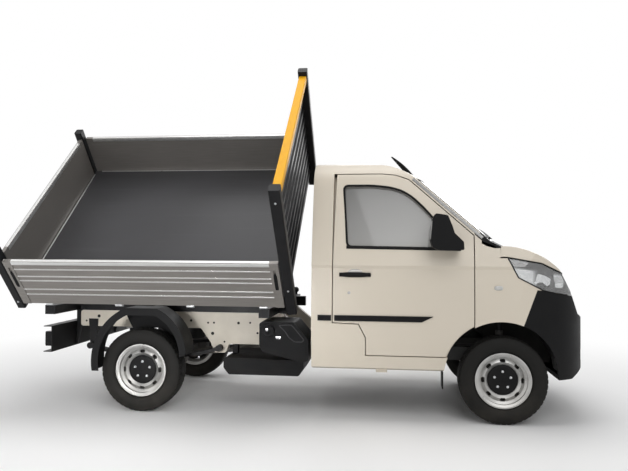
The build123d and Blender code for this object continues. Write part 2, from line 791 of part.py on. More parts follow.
# Tipper subframe with its four pivot balls.
SUB_IN = 335.0
SUB_W = 50.0
SUB_REAR_X = -860.0
SUB_FRONT_X = 1100.0
BEARER_TOP = 790.0
BEARER_W = 80.0
with BuildPart() as subframe:
    for side in (1, -1):
        with Locations(((SUB_REAR_X + SUB_FRONT_X) / 2, side * (SUB_IN + SUB_W / 2), (RAIL_TOP + SUB_TOP) / 2)):
            Box(SUB_FRONT_X - SUB_REAR_X, SUB_W, SUB_TOP - RAIL_TOP)
    for x in BEARER_X:
        with Locations((x, 0, (RAIL_TOP + 4 + BEARER_TOP) / 2)):
            Box(BEARER_W, 2 * (BED_HALF - 18), BEARER_TOP - RAIL_TOP - 4)
        for side in (1, -1):
            with Locations((x, side * PIVOT_Y, (BEARER_TOP + PIVOT_Z) / 2)):
                Cylinder(14, PIVOT_Z - BEARER_TOP)
            with Locations((x, side * PIVOT_Y, PIVOT_Z)):
                Sphere(BALL_R)
save(subframe.part, "tipper_subframe")

# Rear axle, springs and propeller shaft.
AXLE_Z = TYRE_R
DRUM_BACK_Y = TRACK_HALF - 80.0
with BuildPart() as rear_axle:
    add(rod((0, -DRUM_BACK_Y, AXLE_Z), (0, DRUM_BACK_Y, AXLE_Z), 42))
    with Locations((0, 0, AXLE_Z)):
        Sphere(128)
    add(rod((0, -TRACK_HALF - 12, AXLE_Z), (0, TRACK_HALF + 12, AXLE_Z), SPINDLE_R))
    add(rod((0, DRUM_BACK_Y, AXLE_Z), (0, DRUM_BACK_Y + 8, AXLE_Z), 118))
    add(rod((0, -DRUM_BACK_Y, AXLE_Z), (0, -DRUM_BACK_Y - 8, AXLE_Z), 118))
save(rear_axle.part, "rear_axle")

SPRING_Y = RAIL_OUT + 36.0
SPRING_W = 60.0
SPRING_T = 26.0
SPRING_EYE_R = 26.0
SPRING_REAR_X = -540.0
SPRING_EYE_Z = 440.0
SEAT_Z = AXLE_Z + 42.0
with BuildPart() as leaf_spring:
    with BuildSketch(Plane.XZ.offset(-SPRING_Y + SPRING_W / 2)):
        with BuildLine():
            under = ThreePointArc((HANGER_X, SPRING_EYE_Z - 13), (0, SEAT_Z), (SPRING_REAR_X, SPRING_EYE_Z - 13))
            over = ThreePointArc((HANGER_X, SPRING_EYE_Z + 13), (0, SEAT_Z + SPRING_T), (SPRING_REAR_X, SPRING_EYE_Z + 13))
            Line(under @ 0, over @ 0)
            Line(under @ 1, over @ 1)
        make_face()
        with Locations((HANGER_X, SPRING_EYE_Z), (SPRING_REAR_X, SPRING_EYE_Z)):
            Circle(SPRING_EYE_R)
    extrude(amount=-SPRING_W)
    with BuildSketch(Plane.XZ.offset(-RAIL_OUT)):
        with Locations((HANGER_X, SPRING_EYE_Z), (SPRING_REAR_X, SPRING_EYE_Z)):
            Circle(11)
    extrude(amount=-SPRING_W)
    with BuildSketch(Plane.XZ.offset(-RAIL_OUT)):
        with BuildLine():
            Polyline((SPRING_REAR_X - 24, SPRING_EYE_Z - 20), (SPRING_REAR_X + 24, SPRING_EYE_Z - 20),
                     (SPRING_REAR_X + 40, RAIL_BOTTOM + 60), (SPRING_REAR_X - 40, RAIL_BOTTOM + 60), close=True)
        make_face()
    extrude(amount=-8)
    with Locations((0, SPRING_Y, SEAT_Z - 6)):
        Box(110, SPRING_W, 30)
    add(rear_axle.part, mode=Mode.SUBTRACT)
with BuildPart() as leaf_springs:
    add(leaf_spring.part)
    add(flipped(leaf_spring.part))
save(leaf_springs.part, "leaf_springs")

GEARBOX_REAR_X = 1300.0
with BuildPart() as engine:
    with Locations((1885, 0, 550)):
        Box(470, 540, 440)
    with Locations(((GEARBOX_REAR_X + 1650) / 2, 0, 470)):
        Box(1650 - GEARBOX_REAR_X, 260, 240)
    with Locations((1850, 0, 440)):
        Box(80, 2 * RAIL_IN, 60)
    fillet(engine.edges().filter_by(Axis.X), 20)

PROP_R = 32.0
with BuildPart() as prop_shaft:
    add(rod((GEARBOX_REAR_X, 0, 450), (60, 0, 330), PROP_R))
    add(rod((GEARBOX_REAR_X, 0, 450), (GEARBOX_REAR_X - 60, 0, 444), 52))
    add(rear_axle.part, mode=Mode.SUBTRACT)
    add(engine.part, mode=Mode.SUBTRACT)
with BuildPart() as drive_train:
    add(engine.part)
    add(prop_shaft.part)
save(drive_train.part, "drive_train")

# Front suspension and steered knuckles.
ARM_TOP = 205.0
PIN_R = 12.0
with BuildPart() as front_suspension:
    with Locations((WHEELBASE, 0, (RAIL_LOW_BOTTOM + 310) / 2)):
        Box(110, 2 * RAIL_OUT, RAIL_LOW_BOTTOM - 310)
    for side in (1, -1):
        with Locations((WHEELBASE, side * 315, (ARM_TOP + 315) / 2)):
            Box(80, 60, 315 - ARM_TOP + 70)
        with BuildSketch(Plane.XY.offset(ARM_TOP - 36)):
            with BuildLine():
                Polyline((WHEELBASE - 60, side * 290), (WHEELBASE + 60, side * 290),
                         (WHEELBASE + 22, side * (KINGPIN_Y + 14)), (WHEELBASE - 22, side * (KINGPIN_Y + 14)), close=True)
            make_face()
        extrude(amount=36)
        with Locations((WHEELBASE, side * KINGPIN_Y, ARM_TOP + 20)):
            Cylinder(PIN_R, 44)
    for side in (1, -1):
        with Locations((WHEELBASE, side * KINGPIN_Y, (590 + TOWER_Z) / 2)):
            Cylinder(PIN_R, TOWER_Z - 590)
        with Locations((WHEELBASE, side * KINGPIN_Y, TOWER_Z - 60)):
            Cylinder(52, 120)
save(front_suspension.part, "front_suspension")

KNUCKLE_LOW = ARM_TOP + 7.0
KNUCKLE_TOP = 640.0
HUB_IN = -24.0
HUB_BLIND = 16.0
with BuildPart() as knuckle:
    with Locations((WHEELBASE, KINGPIN_Y, (KNUCKLE_LOW + KNUCKLE_TOP) / 2)):
        Cylinder(27, KNUCKLE_TOP - KNUCKLE_LOW)
    add(rod((WHEELBASE, KINGPIN_Y, AXLE_Z), (WHEELBASE, TRACK_HALF + HUB_IN - 8, AXLE_Z), 34))
    add(rod((WHEELBASE, KINGPIN_Y, AXLE_Z), (WHEELBASE, TRACK_HALF + HUB_BLIND - 4, AXLE_Z), SPINDLE_R))
    with Locations((WHEELBASE - 70, KINGPIN_Y - 6, 254)):
        Box(140, 26, 26)
    with Locations((WHEELBASE, KINGPIN_Y, KNUCKLE_LOW), (WHEELBASE, KINGPIN_Y, KNUCKLE_TOP)):
        Cylinder(PIN_R + FIT, 110, mode=Mode.SUBTRACT)
save(knuckle.part, "knuckle_left")
save(flipped(knuckle.part), "knuckle_right")

# Steel wheel: half-section as (radius, distance out from the wheel's middle).
CAP_R = 98.0
RIM = (
    (0, HUB_BLIND), (SPINDLE_R + FIT, HUB_BLIND), (SPINDLE_R + FIT, HUB_IN), (56, HUB_IN), (56, -16), (122, -16), (122, 2),
    (56, 2), (56, 14), (CAP_R, 14), (124, 36), (146, 22), (150, 10), (150, -34), (168, -46), (168, -66),
    (186, -RIM_HALF_W), (195, -RIM_HALF_W), (195, -66), (RIM_R, -62), (RIM_R, -42), (158, -30), (158, 20),
    (RIM_R, 38), (RIM_R, 62), (195, 66), (195, RIM_HALF_W), (186, RIM_HALF_W), (170, 66), (170, 44), (152, 32),
    (128, 46), (100, 24), (CAP_R, 24), (CAP_R - 2, 33), (0, 38),
)
VENT_R = 137.0
with BuildPart() as wheel:
    with BuildSketch(Plane.XY):
        with BuildLine():
            Polyline(*RIM, close=True)
        make_face()
    revolve(axis=Axis.Y)
    with BuildSketch(Plane.XZ.offset(-100)):
        with PolarLocations(VENT_R, 8):
            SlotOverall(40, 24, rotation=90)
    extrude(amount=92, mode=Mode.SUBTRACT)

BEAD_Y = 60.0
with BuildPart() as tyre:
    with BuildSketch(Plane.XY):
        with BuildLine():
            Polyline((RIM_R + FIT, 0), (RIM_R + FIT, BEAD_Y), (199, BEAD_Y), (202, 74), (222, 84.5), (248, TYRE_W / 2),
                     (272, 85.5), (290, 80), (302, 73), (TYRE_R, 60), (TYRE_R, 0))
            mirror(about=Plane.XZ)
        make_face()
    revolve(axis=Axis.Y)

WHEELS = (
    # name, axle x, side
    ("front_left", WHEELBASE, 1),
    ("front_right", WHEELBASE, -1),
    ("rear_left", 0.0, 1),
    ("rear_right", 0.0, -1),
)
for name, axle_x, side in WHEELS:
    place = Location((axle_x, side * TRACK_HALF, AXLE_Z), (0, 0, 0 if side > 0 else 180))
    save(wheel.part.moved(place), "wheel_" + name)
    save(tyre.part.moved(place), "tyre_" + name)

# Mudguards, underrun bar, lamps, tank, service box and exhaust.
GUARD_T = 8.0
GUARD_IN_Y = 580.0
GUARD_OUT_Y = 785.0
GUARD_TOP = 778.0
with BuildPart() as mudguard:
    with BuildSketch(Plane.XZ.offset(GUARD_IN_Y)):
        with BuildLine() as outline:
            ThreePointArc((-362, 305), (-292, 625), (-105, GUARD_TOP))
            Line((-105, GUARD_TOP), (140, GUARD_TOP))
            ThreePointArc((140, GUARD_TOP), (292, 655), (368, 440))
            ThreePointArc((-362 + GUARD_T, 305), (-292 + 7, 625 - 5), (-103, GUARD_TOP - GUARD_T))
            Line((-103, GUARD_TOP - GUARD_T), (138, GUARD_TOP - GUARD_T))
            ThreePointArc((138, GUARD_TOP - GUARD_T), (292 - 6, 655 - 6), (368 - GUARD_T, 440))
            Line((-362, 305), (-362 + GUARD_T, 305))
            Line((368, 440), (368 - GUARD_T, 440))
        make_face()
    extrude(amount=GUARD_OUT_Y - GUARD_IN_Y)
    with Locations((20, -(SUB_IN + SUB_W + GUARD_OUT_Y - 20) / 2, GUARD_TOP - GUARD_T - 15)):
        Box(36, GUARD_OUT_Y - 20 - SUB_IN - SUB_W, 30)
with BuildPart() as mudguards:
    add(mudguard.part)
    add(flipped(mudguard.part))
save(mudguards.part, "rear_mudguards")

BAR_X = -700.0
BAR_DEPTH = 68.0
BAR_HALF = 750.0
BAR_Z = (431.0, 629.0)
BAR_T = 6.0
TOW_ACROSS = 90.0
TOW_UP = 56.0
TOW_HOLE_R = 6.5
with BuildPart() as underrun:
    with BuildSketch(Plane.XZ.offset(-BAR_HALF)):
        with BuildLine():
            Polyline(
                (BAR_X, BAR_Z[0]), (BAR_X, BAR_Z[1]), (BAR_X - BAR_DEPTH, BAR_Z[1]), (BAR_X - BAR_DEPTH, BAR_Z[1] - BAR_T),
                (BAR_X - BAR_T, BAR_Z[1] - BAR_T), (BAR_X - BAR_T, BAR_Z[0] + BAR_T), (BAR_X - BAR_DEPTH, BAR_Z[0] + BAR_T),
                (BAR_X - BAR_DEPTH, BAR_Z[0]), close=True,
            )
        make_face()
    extrude(amount=2 * BAR_HALF)
    for side in (1, -1):
        with BuildSketch(Plane.XZ.offset(-side * (RAIL_IN + RAIL_OUT) / 2 - 5)):
            with BuildLine():
                Polyline((BAR_X, BAR_Z[0] + 10), (BAR_X, RAIL_TOP), (RAIL_REAR_X, RAIL_TOP), (RAIL_REAR_X, RAIL_BOTTOM),
                         (BAR_X + 12, BAR_Z[0] + 10), close=True)
            make_face()
        extrude(amount=10)
    with BuildSketch(Plane.YZ.offset(BAR_X - BAR_T)):
        with Locations((0, sum(BAR_Z) / 2)):
            with GridLocations(TOW_ACROSS, TOW_UP, 2, 2):
                Circle(TOW_HOLE_R)
    extrude(amount=BAR_T, mode=Mode.SUBTRACT)
save(underrun.part, "underrun_bar")

LAMP_W = 170.0
with BuildPart() as rear_lamps:
    for side in (1, -1):
        with Locations((BAR_X - BAR_T - 28, side * (BAR_HALF - 20 - LAMP_W / 2), sum(BAR_Z) / 2)):
            Box(56, LAMP_W, 110)
save(rear_lamps.part, "rear_lamps")

TANK_TOP = 398.0
with BuildPart() as fuel_tank:
    with BuildSketch(Plane.XZ.offset(110)) as section:
        with BuildLine():
            Polyline((600, TANK_TOP), (1215, 386), (1215, 330), (1180, 270), (640, 270), (600, 320), close=True)
        make_face()
        fillet(section.vertices(), 20)
    extrude(amount=480)
    with Locations((640, -(RAIL_IN + RAIL_OUT) / 2, 434), (1080, -(RAIL_IN + RAIL_OUT) / 2, 410)):
        Box(40, RAIL_T - 10, 110)
    add(rail, mode=Mode.SUBTRACT)
save(fuel_tank.part, "fuel_tank")

SERVICE = ((905, 690), (1160, 690), (1270, 560), (1270, 410), (1215, 400), (930, 470), (905, 520))
with BuildPart() as service_box:
    add(side_prism(SERVICE, -730, -RAIL_OUT, 25))
    with BuildSketch(Plane.XZ.offset(730)):
        with Locations((975, 625)):
            Circle(45)
    extrude(amount=18)
save(service_box.part, "service_box")

EXHAUST_Y = 225.0
EXHAUST_Z = 500.0
with BuildPart() as exhaust:
    add(rod((1720, EXHAUST_Y, 370), (1560, EXHAUST_Y, 300), 24))
    add(rod((1560, EXHAUST_Y, 300), (1200, EXHAUST_Y, 300), 24))
    add(rod((1200, EXHAUST_Y, 300), (1000, EXHAUST_Y, EXHAUST_Z), 24))
    add(rod((1010, EXHAUST_Y, EXHAUST_Z), (480, EXHAUST_Y, EXHAUST_Z), 82))
    add(rod((500, EXHAUST_Y, EXHAUST_Z), (200, EXHAUST_Y, EXHAUST_Z), 24))
    add(rod((200, EXHAUST_Y, EXHAUST_Z), (120, EXHAUST_Y, EXHAUST_Z + 60), 24))
    add(rod((120, EXHAUST_Y, EXHAUST_Z + 60), (-160, EXHAUST_Y, EXHAUST_Z + 60), 24))
    add(rod((-160, EXHAUST_Y, EXHAUST_Z + 60), (-520, EXHAUST_Y, EXHAUST_Z + 20), 24))
    for corner in ((1560, 300), (1200, 300), (200, EXHAUST_Z), (120, EXHAUST_Z + 60), (-160, EXHAUST_Z + 60)):
        with Locations((corner[0], EXHAUST_Y, corner[1])):
            Sphere(24)
    with Locations((700, EXHAUST_Y, 580)):
        Box(40, 60, 40)
    add(engine.part, mode=Mode.SUBTRACT)
save(exhaust.part, "exhaust")

# Tipping bed, drawn lowered.
CROSS_X = (-700.0, -290.0, 110.0, 540.0, 950.0)
EDGE_Z = FLOOR_Z - 60.0
EYE_PIN_R = 14.0
EYE_GAP = 30.0
EYE_LAP = 20.0
with BuildPart() as bed_floor:
    with Locations(((BED_REAR_X + BED_FRONT_X) / 2, 0, FLOOR_Z - SKIRT_H / 2)):
        Box(BED_LEN, 2 * BED_HALF, SKIRT_H)
    with Locations(((BED_REAR_X + BED_FRONT_X) / 2, 0, FLOOR_Z - FLOOR_T - SKIRT_H / 2)):
        Box(BED_LEN - 2 * SKIRT_T, 2 * (BED_HALF - SKIRT_T), SKIRT_H, mode=Mode.SUBTRACT)
    for x in CROSS_X:
        with Locations((x, 0, (EDGE_Z + FLOOR_Z - 1) / 2)):
            Box(60, 2 * BED_HALF - SKIRT_T, FLOOR_Z - EDGE_Z - 1)
    for side in (1, -1):
        with Locations(((BED_REAR_X + BED_FRONT_X) / 2, side * (SUB_IN + SUB_W / 2), (SUB_TOP + 6 + FLOOR_Z - 1) / 2)):
            Box(BED_LEN - SKIRT_T, SUB_W, FLOOR_Z - 7 - SUB_TOP)
        for x in BEARER_X:
            with Locations((x, side * (BED_HALF - 40), (PIVOT_Z + EDGE_Z + 4) / 2)):
                Box(84, 76, EDGE_Z + 4 - PIVOT_Z)
    for x in BEARER_X:
        for side in (1, -1):
            with Locations((x, side * PIVOT_Y, PIVOT_Z)):
                Sphere(BALL_R + FIT, mode=Mode.SUBTRACT)
    for x in (CYL_X - EYE_GAP - 6, CYL_X + EYE_GAP + 6):
        with Locations((x, 0, (PIVOT_Z - EYE_LAP + FLOOR_Z - 1) / 2)):
            Box(12, 56, FLOOR_Z - 1 + EYE_LAP - PIVOT_Z)
    add(rod((CYL_X - EYE_GAP - 12, 0, PIVOT_Z), (CYL_X + EYE_GAP + 12, 0, PIVOT_Z), EYE_PIN_R))
save_tipped(bed_floor.part, "bed_floor")

# Drop sides: plank section as (height above the floor, rise of each ridge).
BOARD_IN = BED_HALF + BOARD_GAP
BOARD_OUT = BOARD_IN + BOARD_T
HINGE_Y = BOARD_IN + BOARD_T / 2
HINGE_Z = FLOOR_Z - HINGE_DROP
END_GAP = 6.0
CAP_LEN = 62.0
RIDGE_H = 10.0
RIDGE_T = 4.0
RIDGES = (272.0, 203.0, 160.0, 73.0, 21.0)
TOP_RAIL_H = 36.0
LATCH = (18.0, 150.0, 12.0)


def plank(length, rise):
    """A drop board standing on its lower edge at the floor line: x along it, outer face towards -y."""
    with BuildPart() as board:
        with BuildSketch(Plane.YZ.offset(-length / 2)):
            with Locations((-(BOARD_T - RIDGE_T) / 2, (rise - BOARD_DOWN) / 2)):
                Rectangle(BOARD_T - RIDGE_T, rise + BOARD_DOWN)
            for z in RIDGES:
                with Locations((-BOARD_T / 2, z)):
                    Rectangle(BOARD_T, RIDGE_H)
            with Locations((-BOARD_T / 2, rise - TOP_RAIL_H / 2)):
                Rectangle(BOARD_T, TOP_RAIL_H)
        extrude(amount=length)
        for end in (-1, 1):
            with Locations((end * (length - CAP_LEN) / 2, -BOARD_T / 2, (rise - BOARD_DOWN) / 2)):
                Box(CAP_LEN, BOARD_T, rise + BOARD_DOWN)
            with Locations((end * (length - CAP_LEN) / 2, -BOARD_T + LATCH[2] / 2, rise - 135)):
                Box(LATCH[0], LATCH[2], LATCH[1], mode=Mode.SUBTRACT)
    return board.part


SIDE_LEN = BED_LEN - 2 * END_GAP
side_board = plank(SIDE_LEN, BOARD_UP).moved(Location(((BED_REAR_X + BED_FRONT_X) / 2, -BOARD_IN, FLOOR_Z)))
save_tipped(side_board, "side_board_right")
save_tipped(flipped(side_board), "side_board_left")

POST_W = 70.0
POST_IN = BOARD_OUT - POST_W
TAIL_LEN = 2 * (POST_IN - END_GAP)
tailboard = plank(TAIL_LEN, TAIL_UP).moved(Location((BED_REAR_X - BOARD_GAP, 0, FLOOR_Z), (0, 0, -90)))
save_tipped(tailboard, "tailboard")

with BuildPart() as board_hinges:
    for x in (-680.0, -135.0, 410.0, 955.0):
        for side in (1, -1):
            add(rod((x - 28, side * HINGE_Y, HINGE_Z), (x + 28, side * HINGE_Y, HINGE_Z), KNUCKLE_R))
            with Locations((x, side * (HINGE_Y + BED_HALF) / 2, HINGE_Z)):
                Box(50, HINGE_Y - BED_HALF, 12)
    for y in (-600.0, 0.0, 600.0):
        tail_x = BED_REAR_X - (HINGE_Y - BED_HALF)
        add(rod((tail_x, y - 28, HINGE_Z), (tail_x, y + 28, HINGE_Z), KNUCKLE_R))
        with Locations(((tail_x + BED_REAR_X) / 2, y, HINGE_Z)):
            Box(BED_REAR_X - tail_x, 50, 12)
save_tipped(board_hinges.part, "board_hinges")

REAR_POST_X = 64.0
REAR_POST_UP = TAIL_UP + 60.0
with BuildPart() as rear_posts:
    for side in (1, -1):
        with BuildSketch(Plane.XY.offset(FLOOR_Z - 130)):
            with Locations((BED_REAR_X - REAR_POST_X / 2, side * (BOARD_OUT - POST_W / 2))):
                RectangleRounded(REAR_POST_X, POST_W, 10)
        extrude(amount=REAR_POST_UP + 130)
save_tipped(rear_posts.part, "rear_posts")

# Headboard: posts, ribbed sheet and top bar.
SHEET_T = 6.0
RIB_DEPTH = 24.0
RIB_PITCH = 88.0
RIB_COUNT = 10
SHEET_TOP = HEAD_UP - 88.0
BAR_H = 50.0
with BuildPart() as headboard:
    for side in (1, -1):
        with BuildSketch(Plane.XY.offset(FLOOR_Z - 150)):
            with Locations((BED_FRONT_X + POST_X / 2, side * (BOARD_OUT - POST_W / 2))):
                RectangleRounded(POST_X, POST_W, 12)
        extrude(amount=HEAD_UP + 150)
    with Locations((BED_FRONT_X + SHEET_T / 2, 0, FLOOR_Z + (SHEET_TOP - SKIRT_H) / 2)):
        Box(SHEET_T, 2 * POST_IN + 4, SHEET_TOP + SKIRT_H)
    with BuildSketch(Plane.XZ.offset(-POST_IN - 2)):
        for i in range(RIB_COUNT):
            low = FLOOR_Z - 20 + i * RIB_PITCH
            with BuildLine():
                Polyline((BED_FRONT_X, low), (BED_FRONT_X + RIB_DEPTH, low + 14), (BED_FRONT_X + RIB_DEPTH, low + 40),
                         (BED_FRONT_X, low + 54), close=True)
            make_face()
    extrude(amount=2 * POST_IN + 4)
save_tipped(headboard.part, "headboard")

with BuildPart() as top_bar:
    with BuildSketch(Plane.XZ.offset(-POST_IN)):
        with Locations((BED_FRONT_X + POST_X / 2, FLOOR_Z + SHEET_TOP + BAR_H / 2)):
            RectangleRounded(POST_X - 16, BAR_H, 8)
    extrude(amount=2 * POST_IN)
save_tipped(top_bar.part, "headboard_bar")

# Telescopic tipping cylinder, drawn upright at its trunnion and then leaned to the bed's pin.
REACH_Y = PIVOT_Y - PIVOT_Y * cos(radians(BED_TILT))
REACH_Z = PIVOT_Z - PIVOT_Y * sin(radians(BED_TILT)) - TRUNNION_Z
REACH = hypot(REACH_Y, REACH_Z)
LEAN = degrees(atan2(-REACH_Y, REACH_Z))
STROKE = (REACH - CLOSED_LEN) / 3
BARREL_LOW = -175.0
BARREL_TOP = 150.0
TUBE_T = 10.0
BOSS_X = 95.0
EYE_R = 38.0
EYE_BORE = 25.0
EYE_W = 44.0
LEANED = Location((CYL_X, 0, TRUNNION_Z), (LEAN, 0, 0))

with BuildPart() as barrel:
    with BuildSketch(Plane.XY.offset(BARREL_LOW)):
        Circle(BARREL_R)
    extrude(amount=BARREL_TOP - BARREL_LOW)
    with BuildSketch(Plane.YZ.offset(-BOSS_X)):
        Circle(TRUNNION_R + 14)
    extrude(amount=2 * BOSS_X)
    with BuildSketch(Plane.YZ.offset(-BOSS_X)):
        Circle(TRUNNION_R + FIT)
    extrude(amount=18, mode=Mode.SUBTRACT)
    with BuildSketch(Plane.YZ.offset(BOSS_X - 18)):
        Circle(TRUNNION_R + FIT)
    extrude(amount=18, mode=Mode.SUBTRACT)
    with BuildSketch(Plane.XY.offset(BARREL_LOW + 10)):
        Circle(BARREL_R - TUBE_T)
    extrude(amount=BARREL_TOP - BARREL_LOW, mode=Mode.SUBTRACT)
save(barrel.part.moved(LEANED), "cylinder_barrel")

for number in (1, 2):
    outer_r = BARREL_R - TUBE_T * number - FIT
    with BuildPart() as stage:
        with BuildSketch(Plane.XY.offset(BARREL_LOW + 15 + 5 * number + STROKE * number)):
            Circle(outer_r)
            Circle(outer_r - TUBE_T + FIT, mode=Mode.SUBTRACT)
        extrude(amount=BARREL_TOP - BARREL_LOW - 25)
    save(stage.part.moved(LEANED), f"cylinder_stage_{number}")

with BuildPart() as plunger:
    with BuildSketch(Plane.XY.offset(REACH - CLOSED_LEN + BARREL_LOW + 30)):
        Circle(BARREL_R - 3 * TUBE_T - FIT)
    extrude(amount=BARREL_TOP - BARREL_LOW - 47)
    with BuildSketch(Plane.XY.offset(REACH - 70)):
        Circle(20)
    extrude(amount=70)
    with BuildSketch(Plane(origin=(-EYE_W / 2, 0, REACH), x_dir=(0, 1, 0), z_dir=(1, 0, 0))):
        Circle(EYE_R)
    extrude(amount=EYE_W)
    with BuildSketch(Plane(origin=(-EYE_W / 2, 0, REACH), x_dir=(0, 1, 0), z_dir=(1, 0, 0))):
        Circle(EYE_BORE)
    extrude(amount=EYE_W, mode=Mode.SUBTRACT)
save(plunger.part.moved(LEANED), "cylinder_rod")

with BuildPart() as cradle:
    for side in (1, -1):
        with Locations((CYL_X + side * (BOSS_X + 5 + 20), 0, TRUNNION_Z)):
            Box(40, 2 * RAIL_IN, 80)
        add(rod((CYL_X + side * (BOSS_X + 5), 0, TRUNNION_Z), (CYL_X + side * (BOSS_X - 15), 0, TRUNNION_Z), TRUNNION_R))
with BuildPart() as crossmembers:
    add(frame_crossmembers.part)
    add(cradle.part)
save(crossmembers.part, "frame_crossmembers")
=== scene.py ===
# %% [markdown]
# # A light tipper truck, dressed in Blender
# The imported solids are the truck's real sizes and its moving bodies. They are loaded once as a fixed frame,
# and every later cell only adds finishes and small pieces to them. All lengths below are in millimetres from
# the middle of the rear axle on the ground, and one helper turns them into the metres of the frame.

# %% Load the frame
from math import cos, pi, radians, sin

import bmesh
import bpy
import numpy as np
from mathutils import Matrix, Vector


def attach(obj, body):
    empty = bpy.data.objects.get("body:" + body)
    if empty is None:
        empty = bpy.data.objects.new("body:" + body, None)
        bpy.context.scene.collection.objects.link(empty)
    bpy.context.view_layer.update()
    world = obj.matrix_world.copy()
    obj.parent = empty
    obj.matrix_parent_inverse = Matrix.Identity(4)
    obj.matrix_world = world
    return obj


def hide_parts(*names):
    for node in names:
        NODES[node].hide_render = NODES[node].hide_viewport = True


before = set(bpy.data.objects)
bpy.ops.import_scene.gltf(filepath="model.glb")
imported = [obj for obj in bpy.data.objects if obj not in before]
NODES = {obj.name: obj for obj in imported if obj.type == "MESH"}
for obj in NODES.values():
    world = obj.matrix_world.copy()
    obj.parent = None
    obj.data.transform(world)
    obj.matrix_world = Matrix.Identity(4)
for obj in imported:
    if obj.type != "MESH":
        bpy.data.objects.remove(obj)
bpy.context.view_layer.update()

# %% [markdown]
# ## Where things are
# The truck was drawn from the rear axle, and the frame's origin lies under the middle of the whole truck. The
# bed was drawn lowered and then turned about its right-hand pivots, so bed pieces are also worked out
# lowered, which keeps their numbers plain, and one rotation tips them.

# %% Sizes and places
SHIFT = np.array([-1.172, 0.260, 0.0])
SIDES = ((1, "left"), (-1, "right"))
UP = (0.0, 0.0, 1.0)
WELD = 2e-6  # metres within which doubled points merge
WHEELBASE, TRACK, AXLE_Z = 2650.0, 660.0, 309.0
PIVOT_Y, PIVOT_Z, BED_TILT = -762.0, 831.0, radians(41.5)
BED_REAR, BED_FRONT, BED_HALF, FLOOR_Z = -888.0, 1116.0, 800.0, 937.0


def placed(points):
    """Row metres of vehicle millimetres: divide by a thousand and add the shift to the row's origin."""
    return np.asarray(points, float) / 1000.0 + SHIFT


def tipped(points):
    """Row metres of points on the lowered bed: turn y and z about the pivot line by the tilt, then place."""
    p = np.array(points, float)
    y, z = p[..., 1] - PIVOT_Y, p[..., 2] - PIVOT_Z
    p[..., 1] = PIVOT_Y + cos(BED_TILT) * y - sin(BED_TILT) * z
    p[..., 2] = PIVOT_Z + sin(BED_TILT) * y + cos(BED_TILT) * z
    return placed(p)


print("tipped floor edge", tipped([0, -BED_HALF, FLOOR_Z]).round(3))

# %% [markdown]
# ## Surfaces from arrays
# A new piece is a grid of points that a formula gives at once as one numpy array. The quads between the
# points follow from the grid's size alone, so the same helper serves a lathe, a swept strip and a cushion.
# Doubled points at seams and poles are merged, and the faces are turned outwards.

# %% Grid helpers


def lattice(rows, cols, round_rows=False, round_cols=False):
    """Quads of a grid: each joins a point, the next along its row and the two below; a round grid closes."""
    r, c = np.meshgrid(np.arange(rows - (not round_rows)), np.arange(cols - (not round_cols)), indexing="ij")
    down, along = (r + 1) % rows, (c + 1) % cols
    return np.stack([r * cols + c, r * cols + along, down * cols + along, down * cols + c], -1).reshape(-1, 4)


def piece(name, grid, look, body="chassis", crease=35.0, place=placed, uv=None):
    """A closed mesh at the origin from placed points and quads, in a finish and riding on a body; edges that
    turn by more than the crease stay sharp."""
    points, quads = grid
    mesh = bpy.data.meshes.new(name)
    mesh.from_pydata(place(points).reshape(-1, 3), [], quads)
    if uv is not None:
        layer = mesh.uv_layers.new(name="around")
        layer.data.foreach_set("uv", uv.reshape(-1, 2)[quads.ravel()].ravel())
    mesh.validate()
    work = bmesh.new()
    work.from_mesh(mesh)
    bmesh.ops.remove_doubles(work, verts=work.verts, dist=WELD)
    bmesh.ops.recalc_face_normals(work, faces=work.faces)
    work.to_mesh(mesh)
    work.free()
    mesh.shade_smooth()
    mesh.set_sharp_from_angle(angle=radians(crease))
    obj = bpy.data.objects.new(name, mesh)
    bpy.context.collection.objects.link(obj)
    mesh.materials.append(FINISH[look])
    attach(obj, body)
    print(f"{name}: {len(mesh.polygons)} faces on {body}")
    return obj


def joined(parts):
    """One grid list from several (points, quads): the quads of each count on from the points before it."""
    points = [p.reshape(-1, 3) for p, q in parts]
    starts = np.cumsum([0] + [len(p) for p in points])
    return np.concatenate(points), np.concatenate([q + start for (p, q), start in zip(parts, starts)])


def lathe(profile, origin, axis, steps=48):
    """A profile of (radius, height) carried round an axis: each point is origin + height along the axis +
    radius in the turned direction."""
    profile = np.asarray(profile, float)
    axis = np.asarray(axis, float) / np.linalg.norm(axis)
    side = np.cross(axis, [0.0, 0.0, 1.0] if abs(axis[2]) < 0.9 else [1.0, 0.0, 0.0])
    side /= np.linalg.norm(side)
    other = np.cross(axis, side)
    turn = np.arange(steps) * 2 * pi / steps
    spoke = np.cos(turn)[:, None] * side + np.sin(turn)[:, None] * other
    p = np.asarray(origin, float) + profile[None, :, :1] * spoke[:, None, :] + profile[None, :, 1:] * axis
    return p, lattice(steps, len(profile), round_rows=True)


def swept(path, section, up, closed=False, taper=1.0):
    """A closed section carried along a path: at each point the section's first number goes along the side
    (tangent cross up) and its second along up, both square to the path and shrunk by the taper there."""
    path, section = np.asarray(path, float), np.asarray(section, float)
    sized = section[None] * np.broadcast_to(taper, len(path))[:, None, None]
    ahead = np.roll(path, -1, 0) - np.roll(path, 1, 0)
    if not closed:
        ahead[0], ahead[-1] = path[1] - path[0], path[-1] - path[-2]
    ahead /= np.linalg.norm(ahead, axis=1, keepdims=True)
    side = np.cross(ahead, np.broadcast_to(np.asarray(up, float), ahead.shape))
    side /= np.linalg.norm(side, axis=1, keepdims=True)
    top = np.cross(side, ahead)
    p = path[:, None, :] + sized[..., :1] * side[:, None, :] + sized[..., 1:] * top[:, None, :]
    if not closed:
        first, last = (np.repeat(path[end, None, None], len(section), 1) for end in (0, -1))
        p = np.concatenate([first, p, last])
    return p, lattice(*p.shape[:2], closed, True)


